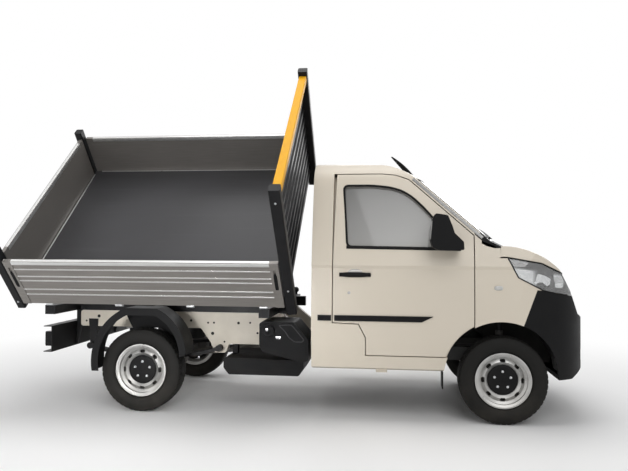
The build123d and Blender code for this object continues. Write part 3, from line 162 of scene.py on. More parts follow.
def plate(outer, depth):
    """A closed thin plate: a grid of points, and a copy moved by the depth that meets it along its border."""
    inner = outer + depth
    inner[[0, -1]], inner[:, [0, -1]] = outer[[0, -1]], outer[:, [0, -1]]
    quads = lattice(*outer.shape[:2])
    return joined([(outer, quads), (inner, quads)])


def ring(radius, count=12):
    """Points of a circle as a section: cosine and sine of equal turns times the radius."""
    t = np.arange(count) * 2 * pi / count
    return np.stack([np.cos(t), np.sin(t)], -1) * radius


def rounded(outline, radius, steps=6):
    """A closed outline with its corners rounded: each corner becomes a curve through its two tangent points,
    with weights (1-t)^2, 2t(1-t) and t^2 on the first, the corner and the second."""
    p = np.asarray(outline, float)
    back, on = np.roll(p, 1, 0) - p, np.roll(p, -1, 0) - p
    before, after = (np.linalg.norm(edge, axis=1, keepdims=True) for edge in (back, on))
    cut = np.minimum(radius, 0.45 * np.minimum(before, after))
    a, b = (p + cut * back / before)[:, None], (p + cut * on / after)[:, None]
    t = np.linspace(0, 1, steps)[None, :, None]
    return ((1 - t) ** 2 * a + 2 * t * (1 - t) * p[:, None] + t ** 2 * b).reshape(-1, p.shape[1])


def pillow(size, centre, power=4.0, rows=24, cols=48):
    """A rounded block: latitude and longitude on a ball whose cosines and sines are raised to 2/power, so a
    power of 2 is an ellipsoid and larger powers are squarer, times half the size."""
    lat = np.linspace(-pi / 2, pi / 2, rows)[:, None]
    lon = (np.arange(cols) * 2 * pi / cols)[None, :]
    soft = lambda v: np.sign(v) * np.abs(v) ** (2.0 / power)
    p = np.stack([soft(np.cos(lat)) * soft(np.cos(lon)), soft(np.cos(lat)) * soft(np.sin(lon)),
                  soft(np.sin(lat)) * np.ones_like(lon)], -1)
    return p * np.asarray(size, float) / 2 + np.asarray(centre, float), lattice(rows, cols, False, True)


print("grid of 3 by 4 has", len(lattice(3, 4)), "quads")

# %% [markdown]
# ## Effects that several finishes share
# Real paint, plastic and metal are never one flat colour: paint has a faint ripple and gathers road dust low
# down, moulded plastic has a fine grain, and metal carries marks in the direction it was rolled or rubbed.
# Each of these is built once as a node group with its own numbers, and a finish places the groups that it
# needs.

# %% Group helpers


def knot(tree, kind, values=None, **settings):
    """A shader node with its settings, and inputs that are numbers or other nodes' sockets."""
    node = tree.nodes.new("ShaderNode" + kind)
    for key, value in settings.items():
        setattr(node, key, value)
    for key, value in (values or {}).items():
        if isinstance(value, bpy.types.NodeSocket):
            tree.links.new(value, node.inputs[key])
        else:
            node.inputs[key].default_value = value
    return node


def sums(tree, operation, *values, clamp=False):
    """A sum on numbers or sockets, by the name of its operation."""
    return knot(tree, "Math", dict(enumerate(values)), operation=operation, use_clamp=clamp).outputs[0]


def ramp(tree, value, start, end):
    """Nought up to the start of a range, one from its end on, and straight between."""
    return knot(tree, "MapRange", {"Value": value, "From Min": start, "From Max": end}).outputs[0]


def blend(tree, share, under, over):
    """A colour laid over another by a share."""
    return knot(tree, "Mix", {"Factor": share, "A": under, "B": over}, data_type="RGBA").outputs["Result"]


def axes(tree):
    """Object coordinates, split into X, Y and Z."""
    return knot(tree, "SeparateXYZ", {0: knot(tree, "TexCoord").outputs["Object"]}).outputs


def overlay(material, share, colour):
    """Lays a plain colour over a finish's own colour by a share."""
    base = material.node_tree.nodes["Principled BSDF"].inputs["Base Color"]
    mixed = blend(material.node_tree, share, base.links[0].from_socket, (*colour, 1.0))
    material.node_tree.links.new(mixed, base)


def effect(name, numbers, result):
    """A shader group with named number inputs and one output; gives the group, the inputs and the output."""
    group = bpy.data.node_groups.new(name, "ShaderNodeTree")
    for label, value in numbers.items():
        group.interface.new_socket(label, in_out="INPUT", socket_type="NodeSocketFloat").default_value = value
    group.interface.new_socket(result, in_out="OUTPUT", socket_type="NodeSocketFloat")
    given, ends = group.nodes.new("NodeGroupInput"), group.nodes.new("NodeGroupOutput")
    return group, given.outputs, ends.inputs[0]


def clouds(tree, scale, detail=3.0, stretch=(1, 1, 1), turn=(0, 0, 0)):
    """Noise on Object coordinates, stretched and turned by a mapping."""
    where = knot(tree, "TexCoord").outputs["Object"]
    mapped = knot(tree, "Mapping", {"Vector": where, "Scale": stretch, "Rotation": turn}).outputs[0]
    return knot(tree, "TexNoise", {"Vector": mapped, "Scale": scale, "Detail": detail}).outputs[0]


# %% Mottle, dust, grain and marks
MOTTLE, given, result = effect("mottle", {"Scale": 3.0, "Contrast": 1.0}, "Mask")
spread = sums(MOTTLE, "SUBTRACT", clouds(MOTTLE, given["Scale"], 5.0), 0.5)
spread = sums(MOTTLE, "MULTIPLY", spread, given["Contrast"])
spread = sums(MOTTLE, "ADD", spread, 0.5, clamp=True)
MOTTLE.links.new(spread, result)

DUST, given, result = effect("road_dust", {"Top": 0.5, "Amount": 0.5}, "Mask")
near_ground = ramp(DUST, axes(DUST)["Z"], given["Top"], 0.05)
both = sums(DUST, "MULTIPLY", near_ground, ramp(DUST, clouds(DUST, 7.0, 6.0), 0.3, 0.75))
both = sums(DUST, "MULTIPLY", both, given["Amount"], clamp=True)
DUST.links.new(both, result)

GRAIN, given, result = effect("fine_grain", {"Scale": 900.0}, "Height")
GRAIN.links.new(clouds(GRAIN, given["Scale"], 2.0), result)

MARKS, given, result = effect("drawn_marks", {"Scale": 40.0, "Low": 0.55, "High": 0.75}, "Mask")
streak = clouds(MARKS, given["Scale"], 6.0, (0.04, 1.0, 1.0), (-BED_TILT, 0, 0))
MARKS.links.new(ramp(MARKS, streak, given["Low"], given["High"]), result)


def use(tree, group, **numbers):
    """A group placed in a material with its own numbers; gives its output."""
    node = tree.nodes.new("ShaderNodeGroup")
    node.node_tree = group
    for key, value in numbers.items():
        node.inputs[key].default_value = value
    return node.outputs[0]


print("groups", [group.name for group in bpy.data.node_groups])

# %% [markdown]
# ## Finishes
# Most surfaces here are paint, plastic or metal and differ only in numbers, so a short table with named
# columns makes them. A finish mixes two near colours by the mottle, lays dust over that near the ground, lets
# the roughness wander, and bends the light with a fine grain. Values that are the same all over are set on
# the shader's own sockets.

# %% Plain finishes
ROAD_DUST, DUST_ROUGH, CLEAN = (0.33, 0.29, 0.235, 1.0), 0.85, (0.3, 0.0)
COAT_ROUGH, GRAIN_DEPTH = 0.12, 0.002


def finish(name, light, dark, rough, mottle, grain, metal=0.0, coat=0.0, shine=0.5, dust=CLEAN):
    """A painted, moulded or metal finish from its numbers."""
    material = bpy.data.materials.new(name)
    material.use_nodes = True
    tree = material.node_tree
    shade = tree.nodes["Principled BSDF"]
    mask = use(tree, MOTTLE, Scale=mottle[0], Contrast=mottle[1])
    grime = use(tree, DUST, Top=dust[0], Amount=dust[1])
    colour = blend(tree, grime, blend(tree, mask, (*dark, 1.0), (*light, 1.0)), ROAD_DUST)
    sheen = knot(tree, "MapRange", {"Value": mask, "To Min": rough[0], "To Max": rough[1]}).outputs[0]
    matt = knot(tree, "Mix", {"Factor": grime, "A": sheen, "B": DUST_ROUGH}).outputs["Result"]
    tree.links.new(colour, shade.inputs["Base Color"])
    tree.links.new(matt, shade.inputs["Roughness"])
    relief = {"Height": use(tree, GRAIN, Scale=grain[0]), "Strength": grain[1], "Distance": GRAIN_DEPTH}
    tree.links.new(knot(tree, "Bump", relief).outputs[0], shade.inputs["Normal"])
    even = {"Metallic": metal, "Specular IOR Level": shine, "Coat Weight": coat, "Coat Roughness": COAT_ROUGH}
    for socket, value in even.items():
        shade.inputs[socket].default_value = value
    return material


FINISHES = dict(
    # light and dark colour, roughness from and to, mottle scale and contrast, grain scale and strength, rest
    cab_paint=((0.70, 0.635, 0.535), (0.665, 0.60, 0.50), (0.34, 0.44), (1.6, 1.2), (260.0, 0.012),
        dict(coat=0.15, shine=0.35, dust=(0.62, 0.25))),
    frame_paint=((0.66, 0.61, 0.52), (0.56, 0.51, 0.43), (0.38, 0.55), (6.0, 2.2), (300.0, 0.03),
        dict(dust=(0.85, 0.45))),
    black_plastic=((0.0095, 0.0095, 0.010), (0.006, 0.006, 0.0065), (0.42, 0.58), (9.0, 1.6), (1400.0, 0.10),
        dict(shine=0.10, dust=(0.6, 0.03))),
    black_steel=((0.014, 0.014, 0.015), (0.008, 0.008, 0.009), (0.30, 0.50), (7.0, 2.0), (500.0, 0.05),
        dict(shine=0.14, dust=(0.75, 0.06))),
    # real underseal on the cab floor, and painted shade on the ring behind the wheel vents and the rail holes
    underseal_and_shade=((0.024, 0.023, 0.022), (0.012, 0.012, 0.012), (0.70, 0.90), (18.0, 2.0), (300.0, 0.35),
        dict(shine=0.25, dust=(0.7, 0.15))),
    hinge_alloy=((0.68, 0.69, 0.70), (0.50, 0.51, 0.52), (0.28, 0.45), (20.0, 2.0), (800.0, 0.08),
        dict(metal=1.0)),
    yellow_paint=((0.86, 0.44, 0.014), (0.78, 0.38, 0.010), (0.40, 0.52), (8.0, 1.6), (260.0, 0.02),
        dict(shine=0.15)),
    wheel_paint=((0.50, 0.50, 0.49), (0.38, 0.375, 0.365), (0.26, 0.40), (14.0, 2.4), (420.0, 0.03),
        dict(metal=0.85, coat=0.1, dust=(0.52, 0.30))),
    bare_steel=((0.45, 0.44, 0.43), (0.26, 0.25, 0.24), (0.30, 0.55), (12.0, 2.6), (600.0, 0.06),
        dict(metal=1.0, dust=(0.6, 0.35))),
    cast_iron=((0.075, 0.072, 0.07), (0.035, 0.034, 0.034), (0.55, 0.8), (10.0, 2.2), (350.0, 0.25),
        dict(dust=(0.7, 0.4))),
    chrome=((0.86, 0.86, 0.88), (0.74, 0.74, 0.76), (0.05, 0.12), (9.0, 1.5), (300.0, 0.005),
        dict(metal=1.0)),
    dash_plastic=((0.045, 0.045, 0.047), (0.03, 0.03, 0.032), (0.55, 0.7), (6.0, 1.5), (1100.0, 0.2), dict()),
    rubber_seal=((0.010, 0.010, 0.010), (0.006, 0.006, 0.006), (0.5, 0.68), (15.0, 1.6), (900.0, 0.08),
        dict(shine=0.12, dust=(0.5, 0.0))),
    red_lens=((0.42, 0.012, 0.012), (0.30, 0.006, 0.006), (0.08, 0.16), (60.0, 2.0), (160.0, 0.25),
        dict(coat=0.6, dust=(0.6, 0.15))),
    amber_lens=((0.75, 0.23, 0.01), (0.6, 0.16, 0.008), (0.08, 0.16), (60.0, 2.0), (160.0, 0.25),
        dict(coat=0.6)),
    mirror_glass=((0.80, 0.82, 0.83), (0.76, 0.78, 0.79), (0.02, 0.05), (5.0, 1.2), (200.0, 0.002),
        dict(metal=1.0)),
    clear_plastic=((0.62, 0.62, 0.60), (0.42, 0.42, 0.41), (0.08, 0.14), (50.0, 2.4), (240.0, 0.2),
        dict(coat=0.5)),
)
FINISH = {name: finish(name, *row, **rest) for name, (*row, rest) in FINISHES.items()}
# ahead of the bed the rails are coated dark: the coat's share rises along Object x, in metres
COAT_START, COAT_END, COAT = 0.08, 0.16, (0.018, 0.018, 0.017)
rails = FINISH["frame_paint"].node_tree
overlay(FINISH["frame_paint"], ramp(rails, axes(rails)["X"], COAT_START, COAT_END), COAT)
print("plain finishes", sorted(FINISH))

# %% [markdown]
# ## Finishes with a pattern of their own
# The bed's sheet steel has long drag marks from loads, the drop boards are extruded aluminium whose ridges
# wear a bright colour as a painted highlight, the window glass is tinted under a painted reflection, and lamp
# housings (with painted shade on their facets), rubber and seat cloth each have a pattern that no table of
# numbers gives.

# %% Bed sheet and boards


def layered(name, base, over, mask_numbers, rough):
    """A finish under fine drawn marks: a base finish's numbers, with the marks' colour laid over."""
    *row, rest = base
    material = finish(name, *row, **rest)
    tree = material.node_tree
    marks = use(tree, MARKS, **mask_numbers)
    overlay(material, marks, over)
    dull = tree.nodes["Principled BSDF"].inputs["Roughness"]
    rubbed = knot(tree, "Mix", {"Factor": marks, "A": dull.links[0].from_socket, "B": rough})
    tree.links.new(rubbed.outputs["Result"], dull)
    return material


LAYERED = dict(
    # the base's columns as above; colour, numbers and roughness of the marks
    bed_sheet=(
        ((0.048, 0.0475, 0.051), (0.038, 0.0375, 0.040), (0.30, 0.44), (2.2, 1.8), (500.0, 0.03),
         dict(shine=0.22)),
        (0.054, 0.054, 0.057), dict(Scale=26.0, Low=0.58, High=0.85), 0.42),
    board_alloy=(
        ((0.235, 0.220, 0.205), (0.195, 0.183, 0.170), (0.42, 0.52), (4.0, 1.4), (700.0, 0.03),
         dict(metal=0.5)),
        (0.26, 0.244, 0.228), dict(Scale=120.0, Low=0.35, High=0.85), 0.40),
    # on the boards' ridges and top rails this bright colour is a painted highlight; on the floor strips it is
    # bright alloy
    bright_alloy_and_highlight=(
        ((0.74, 0.74, 0.73), (0.64, 0.64, 0.63), (0.26, 0.38), (6.0, 1.6), (700.0, 0.03), dict(metal=0.85)),
        (0.80, 0.80, 0.79), dict(Scale=140.0, Low=0.45, High=0.75), 0.26),
)
FINISH.update({name: layered(name, *row) for name, row in LAYERED.items()})
print("bed finishes", list(LAYERED))

# %% Glass and lamp housings


def glazing(name, tint, smear, weight, rough):
    """Clear or tinted glass: fine noise smears its roughness, and what it lets through is set plainly."""
    material = finish(name, tint, tuple(c * 0.94 for c in tint), rough, smear, (200.0, 0.002))
    shade = material.node_tree.nodes["Principled BSDF"]
    shade.inputs["Transmission Weight"].default_value = weight
    shade.inputs["IOR"].default_value = 1.45
    return material


def window_glass():
    """Tinted glass with a painted reflection of a pale hall: a lighter grey, painted over the tint, grows
    from the rear top corner to the front foot, along Object x and down Object z, and only part of the light
    goes through."""
    material = glazing("window_glass", (0.23, 0.23, 0.226), (5.0, 1.5), 0.14, (0.03, 0.07))
    tree = material.node_tree
    where = axes(tree)
    ahead, below = ramp(tree, where["X"], 0.35, 1.15), ramp(tree, where["Z"], 1.70, 1.22)
    share = sums(tree, "MULTIPLY_ADD", below, 0.55, sums(tree, "MULTIPLY", ahead, 0.45), clamp=True)
    # painted reflection: a lighter grey over the tint towards the front foot
    overlay(material, share, (0.52, 0.515, 0.50))
    return material


FINISH["window_glass"] = window_glass()
FINISH["lamp_lens"] = glazing("lamp_lens", (0.96, 0.97, 0.97), (9.0, 1.4), 0.95, (0.01, 0.04))


def lamp_bowl():
    """Lamp housing: a dark band under the top edge, which falls by 0.17 along Object x, bright metal at the
    rear foot, and ahead of it facets from cells, where the dark cells are painted shade on a faceted
    reflector."""
    material = finish("lamp_bowl", (0.80, 0.80, 0.80), (0.58, 0.58, 0.585), (0.10, 0.26), metal=0.85,
                      mottle=(16.0, 2.0), grain=(60.0, 0.05))
    tree = material.node_tree
    where = axes(tree)
    dark_band = ramp(tree, sums(tree, "MULTIPLY_ADD", where["X"], 0.17, where["Z"]), 1.362, 1.376)
    spots = knot(tree, "TexCoord").outputs["Object"]
    # dark cells on the bright metal: painted shade standing for facets that mirror nothing bright
    cells = knot(tree, "TexVoronoi", {"Vector": spots, "Scale": 17.0}).outputs["Color"]
    facet_shade = ramp(tree, knot(tree, "SeparateXYZ", {0: cells}).outputs["X"], 0.35, 0.45)
    facet_shade = sums(tree, "MULTIPLY", facet_shade, ramp(tree, where["X"], 1.66, 1.70))
    overlay(material, sums(tree, "MAXIMUM", dark_band, facet_shade), (0.07, 0.067, 0.067))
    return material


FINISH["lamp_bowl"] = lamp_bowl()
print("glass", [name for name in FINISH if "glass" in name or "lens" in name])

# %% Tyre rubber and seat cloth
RING_WAVE, THREAD_WAVE = 420.0, 1600.0


def tyre_rubber():
    """Black rubber whose sidewall carries fine rings: a wave along the tyre's own across-coordinate."""
    material = finish("tyre_rubber", (0.013, 0.0125, 0.0115), (0.008, 0.0078, 0.0072), (0.55, 0.75),
                      (10.0, 2.0), (700.0, 0.15), shine=0.16, dust=(0.42, 0.07))
    tree = material.node_tree
    across = knot(tree, "SeparateXYZ", {0: knot(tree, "UVMap", uv_map="around").outputs[0]}).outputs["Y"]
    rings = sums(tree, "SINE", sums(tree, "MULTIPLY", across, RING_WAVE))
    height = tree.nodes["Bump"].inputs["Height"]
    tree.links.new(sums(tree, "MULTIPLY_ADD", rings, 0.35, height.links[0].from_socket), height)
    return material


def seat_cloth():
    """Woven cloth: a sine wave along Object x plus z, times one along y, raises threads over and under."""
    material = finish("seat_cloth", (0.055, 0.057, 0.062), (0.028, 0.029, 0.032), (0.85, 0.95),
                      (25.0, 2.0), (1500.0, 0.2))
    tree = material.node_tree
    where = axes(tree)
    runs = sums(tree, "ADD", where["X"], where["Z"]), where["Y"]
    warp, weft = (sums(tree, "SINE", sums(tree, "MULTIPLY", run, THREAD_WAVE)) for run in runs)
    tree.links.new(sums(tree, "MULTIPLY", warp, weft), tree.nodes["Bump"].inputs["Height"])
    tree.nodes["Bump"].inputs["Strength"].default_value = 0.3
    tree.nodes["Principled BSDF"].inputs["Sheen Weight"].default_value = 0.3
    return material


FINISH["tyre_rubber"] = tyre_rubber()
FINISH["seat_cloth"] = seat_cloth()
print("finishes", len(FINISH))

# %% [markdown]
# ## Finishes on the solids
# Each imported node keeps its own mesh, and its slot takes the finish of the real part. One table with a row
# per finish names the nodes that wear it, so a node that was forgotten shows up at once in the printed list.

# %% Dress the nodes
WEAR = dict(
    cab_paint="cab_side_left cab_side_right cab_roof cab_rear_wall front_wings bonnet door_left door_right",
    underseal_and_shade="cab_floor",
    black_plastic="cowl grille front_bumper arch_liners cab_trim door_trim_left door_trim_right fuel_tank "
                  "service_box rear_mudguards",
    window_glass="cab_glass door_glass_left door_glass_right",
    lamp_lens="headlamps",
    lamp_bowl="lamp_housings",
    red_lens="rear_lamps",
    dash_plastic="dashboard steering_wheel",
    seat_cloth="seats",
    frame_paint="frame_rails frame_crossmembers",
    black_steel="tipper_subframe leaf_springs front_suspension underrun_bar headboard rear_posts "
                "cylinder_barrel",
    cast_iron="rear_axle drive_train knuckle_left knuckle_right",
    bare_steel="exhaust cylinder_stage_1 cylinder_stage_2",
    chrome="cylinder_rod",
    wheel_paint="wheel_front_left wheel_front_right wheel_rear_left wheel_rear_right",
    tyre_rubber="tyre_front_left tyre_front_right tyre_rear_left tyre_rear_right",
    bed_sheet="bed_floor",
    yellow_paint="headboard_bar",
    hinge_alloy="board_hinges",
    board_alloy="side_board_left side_board_right tailboard",
)
for worn, names in WEAR.items():
    for name in names.split():
        for spot in NODES[name].material_slots:
            spot.material = FINISH[worn]
print("undressed nodes", sorted(set(NODES) - set(" ".join(WEAR.values()).split())))

# %% [markdown]
# ## Tyres
# A van tyre has four grooves round it, zigzag ribs between them and slots across its shoulders. The section
# is a short list of (radius, distance from the middle) points; carried round the axle it gives a plain tyre,
# and the tread is cut by lowering the radius of the points that lie in a groove or a slot. A lathe with a cut
# formula keeps the pattern exact all the way round, where a displaced image would blur.

# %% Tyres with tread
TYRE_R, BLOCKS, PER_BLOCK = 309.0, 48, 10
GROOVE_CUT, SLOT_CUT, SIPE_CUT, CROWN, SWAY = 7.0, 5.0, 3.0, 2.2, 5.0
SIDEWALL = np.array([
    (181, 57), (199, 60.5), (203, 73), (208, 78), (214, 81), (226, 84.5), (238, 86.6), (250, 87.3),
    (262, 86.4), (274, 83.8), (284, 80.8), (291, 78.2), (297, 75.0), (302, 71.5), (305.6, 67.0)])
TREAD_Y = np.array([62, 55, 45.0, 43.8, 36.2, 35.0, 27, 19.0, 17.8, 10.2, 9.0, 0])
IN_GROOVE = (abs(TREAD_Y - 40) < 4) | (abs(TREAD_Y - 14) < 4)
ON_SHOULDER, ON_RIB = TREAD_Y >= 45, abs(TREAD_Y - 27) <= 8


def tyre_grid():
    """Points of a tyre about the y axis: radius and y come from the section; the radius drops by each cut in
    the grooves, the shoulder slots and the ribs' sipes, and groove edges sway along y by a triangle wave."""
    turn = np.arange(BLOCKS * PER_BLOCK)
    phase = (turn % PER_BLOCK) / PER_BLOCK
    sway = (np.abs(phase * 2 - 1) - 0.5) * SWAY
    tread_r = TYRE_R - CROWN * (TREAD_Y / TREAD_Y[0]) ** 2 - GROOVE_CUT * IN_GROOVE
    half_r = np.concatenate([SIDEWALL[:, 0], tread_r])
    half_y = np.concatenate([SIDEWALL[:, 1], TREAD_Y])
    sides = np.zeros(len(SIDEWALL))
    moves = np.concatenate([sides, (np.abs(TREAD_Y) < 50) * (TREAD_Y > 0)])
    slot = np.concatenate([sides[:-2], [0.4, 0.8], ON_SHOULDER])
    sipe = np.concatenate([sides, ON_RIB])
    in_slot = (phase < 0.19)[:, None] * slot
    in_sipe = (np.abs(phase - 0.5) < 0.06)[:, None] * sipe
    r = half_r[None, :] - SLOT_CUT * in_slot - SIPE_CUT * in_sipe
    y = half_y[None, :] + sway[:, None] * moves
    shift = PER_BLOCK // 2
    r = np.concatenate([r, np.roll(r, shift, 0)[:, -2::-1]], 1)
    y = np.concatenate([y, -np.roll(y, shift, 0)[:, -2::-1]], 1)
    angle = (turn * 2 * pi / len(turn))[:, None]
    points = np.stack([r * np.cos(angle), y, r * np.sin(angle)], -1)
    uv = np.stack([np.broadcast_to(angle / (2 * pi), r.shape), r / TYRE_R], -1)
    return points, uv


WHEELS = {f"{end}_{hand}": (axle_x, side) for end, axle_x in (("front", WHEELBASE), ("rear", 0.0))
          for side, hand in SIDES}
TYRE, TYRE_UV = tyre_grid()
for name, (axle_x, side) in WHEELS.items():
    spot = TYRE + [axle_x, side * TRACK, AXLE_Z]
    rubber = piece("rubber_" + name, (spot, lattice(*TYRE.shape[:2], True)), "tyre_rubber", name + "_wheel",
                   40.0, uv=TYRE_UV)
    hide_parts("tyre_" + name)

# %% [markdown]
# ## Hub caps and wheel nuts
# The steel wheel's middle is covered by a black dished cap, and five bright nuts stand through it. Both are
# lathes: the cap has a smooth profile, and a nut is a lathe with six steps, which makes it a hexagon. Behind
# the oval vents a dark flat ring is painted shade for the dark inside of the wheel.

# %% Hub caps and nuts
HEX, HEX_CREASE = 6, 50.0
CAP = [(0, 39.2), (30, 39.0), (44, 38.4), (80, 38.0), (94, 37.2), (101, 35.8), (104.8, 33.6), (106, 31.0),
       (105, 28.6), (98, 26.0)]
VENT_SHADE = [(124, 7.0), (148, 7.0), (148, 4.0), (124, 4.0), (124, 7.0)]
NUT = [(0, 50.5), (4.6, 50.3), (7.0, 48.6), (8.2, 45.0), (8.4, 39.0), (10.2, 38.8), (10.6, 36.4), (0, 36.4)]
NUT_CIRCLE, NUT_COUNT = 59.0, 5
for name, (axle_x, side) in WHEELS.items():
    hub = np.array([axle_x, side * TRACK, AXLE_Z])
    out = np.array([0.0, side, 0.0])
    piece("hub_cap_" + name, lathe(CAP, hub, out, 72), "black_plastic", name + "_wheel")
    # a dark flat ring behind the vents: painted shade for the inside of the wheel
    piece("vent_shade_" + name, lathe(VENT_SHADE, hub, out, 72), "underseal_and_shade", name + "_wheel")
    turns = np.arange(NUT_COUNT) * 2 * pi / NUT_COUNT + pi / 2
    seats_at = hub + NUT_CIRCLE * np.stack([np.cos(turns), 0 * turns, np.sin(turns)], -1)
    piece("wheel_nuts_" + name, joined([lathe(NUT, spot, out, HEX) for spot in seats_at]),
          "hinge_alloy", name + "_wheel", HEX_CREASE)

# %% [markdown]
# ## Rubber round the glass
# The door glass sits in a black rubber channel, and a thicker strip wipes it along the waist. Both follow the
# curved flank, so the flank is written as what it is in cross-section: two arcs, each through three points,
# and the crease at the belt between them. A bead carried along the window's rounded outline then lies on the
# skin everywhere.

# %% Flank, window channels and waist strips


def arc_through(a, b, c):
    """Centre and radius of the circle through three points: where two chords' bisectors meet."""
    a, b, c = (np.asarray(v, float) for v in (a, b, c))
    middle = np.linalg.solve(2 * np.stack([b - a, c - a]), [b @ b - a @ a, c @ c - a @ a])
    return middle, np.linalg.norm(a - middle)


BELT_UNDER, BELT = (804.0, 1090.0), (812.0, 1112.0)
LOW_ARC = arc_through((792, 385), (818, 800), BELT_UNDER)
HIGH_ARC = arc_through(BELT, (752, 1440), (692, 1700))


def flank(z):
    """Half width of the cab at a height: centre plus the root of radius squared less the height's offset
    squared, on the lower arc up to the belt and on the upper arc above it, with a straight crease between."""
    z = np.asarray(z, float)
    reach = lambda arc: arc[0][0] + np.sqrt(arc[1] ** 2 - (z - arc[0][1]) ** 2)
    crease = np.interp(z, (BELT_UNDER[1], BELT[1]), (BELT_UNDER[0], BELT[0]))
    return np.select([z < BELT_UNDER[1], z < BELT[1]], [reach(LOW_ARC), crease], reach(HIGH_ARC))


def bow(a, b, c, count):
    """Points at even angles along the arc through three plane points, from the first to the third."""
    middle, radius = arc_through(a, b, c)
    spokes = np.array([a, b, c], float) - middle
    turn = np.unwrap(np.arctan2(spokes[:, 1], spokes[:, 0]))
    along = np.linspace(turn[0], turn[2], count)
    return middle + radius * np.stack([np.cos(along), np.sin(along)], -1)


PLAN_START, PLAN_TURN, PLAN_END, PLAN_TIP = (2550, 820), (3020, 735), (3250, 430), 3330.0
PLAN_ARCS = arc_through(PLAN_START, (2850, 798), PLAN_TURN), arc_through(PLAN_TURN, (3165, 620), PLAN_END)
NOSE_ARC = arc_through((2735, 1254), (2960, 1206), (3118, 1090))


def skin(x, z):
    """Half width of the cab's front at a side-view point: the least of the flank at that height, the plan
    outline at that x, and the nose, a profile turned about the rear axle, where it is the root of radius
    squared less x squared."""
    x, z = np.asarray(x, float), np.asarray(z, float)
    over = lambda arc, v: arc[0][1] + np.sqrt(np.maximum(arc[1] ** 2 - (v - arc[0][0]) ** 2, 0))
    side, nose = (over(arc, np.maximum(x, end[0])) for arc, end in zip(PLAN_ARCS, (PLAN_START, PLAN_TURN)))
    plan = np.where(x < PLAN_TURN[0], side, nose)
    arched = NOSE_ARC[0][0] + np.sqrt(np.maximum(NOSE_ARC[1] ** 2 - (z - NOSE_ARC[0][1]) ** 2, 0))
    turned = np.where(z > 1090, arched, np.interp(z, (777, 938, 1090), (3235, 3189, 3118)))
    return np.minimum(np.minimum(flank(z), plan), np.sqrt(np.maximum(turned ** 2 - x ** 2, 0)))


def on_flank(outline, side, proud=0.0):
    """Side-view points laid on a flank: y is the half width at their height plus how proud they stand."""
    p = np.asarray(outline, float)
    return np.stack([p[:, 0], side * (flank(p[:, 1]) + proud), p[:, 1]], -1)


WINDOW = ((1522, 1691), (1554, 1246), (2356, 1234), (2087, 1537), (2011, 1608), (1941, 1652), (1850, 1678),
          (1720, 1691))
WAIST = np.stack([np.linspace(1548, 2352, 30), np.linspace(1242, 1230, 30)], -1)
BEAD = ring(1.0, 12) * [8.0, 4.5]
STRIP = ring(1.0, 12) * [11.5, 5.0]
for side, hand in SIDES:
    body = "door_" + hand
    piece("window_channel_" + hand, swept(on_flank(rounded(WINDOW, 36, 8), side), BEAD, (0, side, 0.2), True),
          "rubber_seal", body)
    piece("waist_strip_" + hand, swept(on_flank(WAIST, side, 1.0), STRIP, (0, side, 0.2)),
          "rubber_seal", body)

# %% [markdown]
# ## Edges of the windscreen
# A black band runs up each side of the screen and hides the glue that holds it, and the glass wraps round the
# corner on to the pillar as a narrow grey edge. The screen is part of a surface turned about the rear axle,
# so a point on it has a distance from that axis that falls evenly with height, and it meets the flank where
# the two half widths agree.

# %% Screen bands and edges
SCREEN_BROW, BROW_Z, SCREEN_RUN = 2138.0, 1752.0, 530.0 / 464.0
FOOT_HALF, FOOT_Z, SCREEN_TAPER, BAND_IN, EDGE_BACK = 750.0, 1292.0, 110.0 / 460.0, 10.0, 22.0


def on_screen(y, z, proud=0.0):
    """Points on the screen: the distance from the turning axis is 2138 at the brow and 530 more at its foot
    464 lower, and x is the root of that distance squared less y squared."""
    far = SCREEN_BROW + (BROW_Z - z) * SCREEN_RUN + proud
    return np.stack([np.sqrt(far ** 2 - y ** 2), y, z], -1)


RISE = np.linspace(1312, 1738, 24)
BAND = ring(1.0, 12) * [13.0, 2.4]
EDGE = ring(1.0, 12) * [11.0, 2.0]
for side, hand in SIDES:
    y = side * (FOOT_HALF - (RISE - FOOT_Z) * SCREEN_TAPER - BAND_IN)
    piece("screen_band_" + hand, swept(on_screen(y, RISE, 1.0), BAND, (0.64, 0.0, 0.77)), "rubber_seal")
    corner = np.sqrt((SCREEN_BROW + (BROW_Z - RISE) * SCREEN_RUN) ** 2 - flank(RISE) ** 2)
    piece("screen_edge_" + hand,
          swept(on_flank(np.stack([corner - EDGE_BACK, RISE], -1), side, 0.6), EDGE, (0, side, 0.2)),
          "window_glass", "chassis")

# %% [markdown]
# ## Front corners
# Beside the cowl each front wing runs up to the foot of the screen and closes the corner behind the bonnet. A
# black seal frames each headlamp, and a whip aerial with a thick bent foot stands over the screen. The wing
# corner is a grid on the skin between the wing's edge and the cowl, the seal a bead along the lamp's outline.
# A painted header closes the back of the cab between the rear wall and the curved roof: a grid from the
# wall's top up to the roof's lining.

# %% Rear header
HEADER_X, HEADER_FOOT, HEADER_HALF = 1300.5, 1784.0, 598.0
y = np.linspace(-HEADER_HALF, HEADER_HALF, 61)
top = np.interp(abs(y), (0, 400, 480, 520, 550, 580, 598), (1841, 1844, 1834.5, 1827.5, 1819, 1801.5, 1791))
z = HEADER_FOOT + np.linspace(0, 1, 5)[None, :] * (top - HEADER_FOOT)[:, None]
outer = np.stack([0 * z + HEADER_X, y[:, None] + 0 * z, z], -1)
piece("rear_header", plate(outer, (6.0, 0.0, 0.0)), "cab_paint", "chassis")

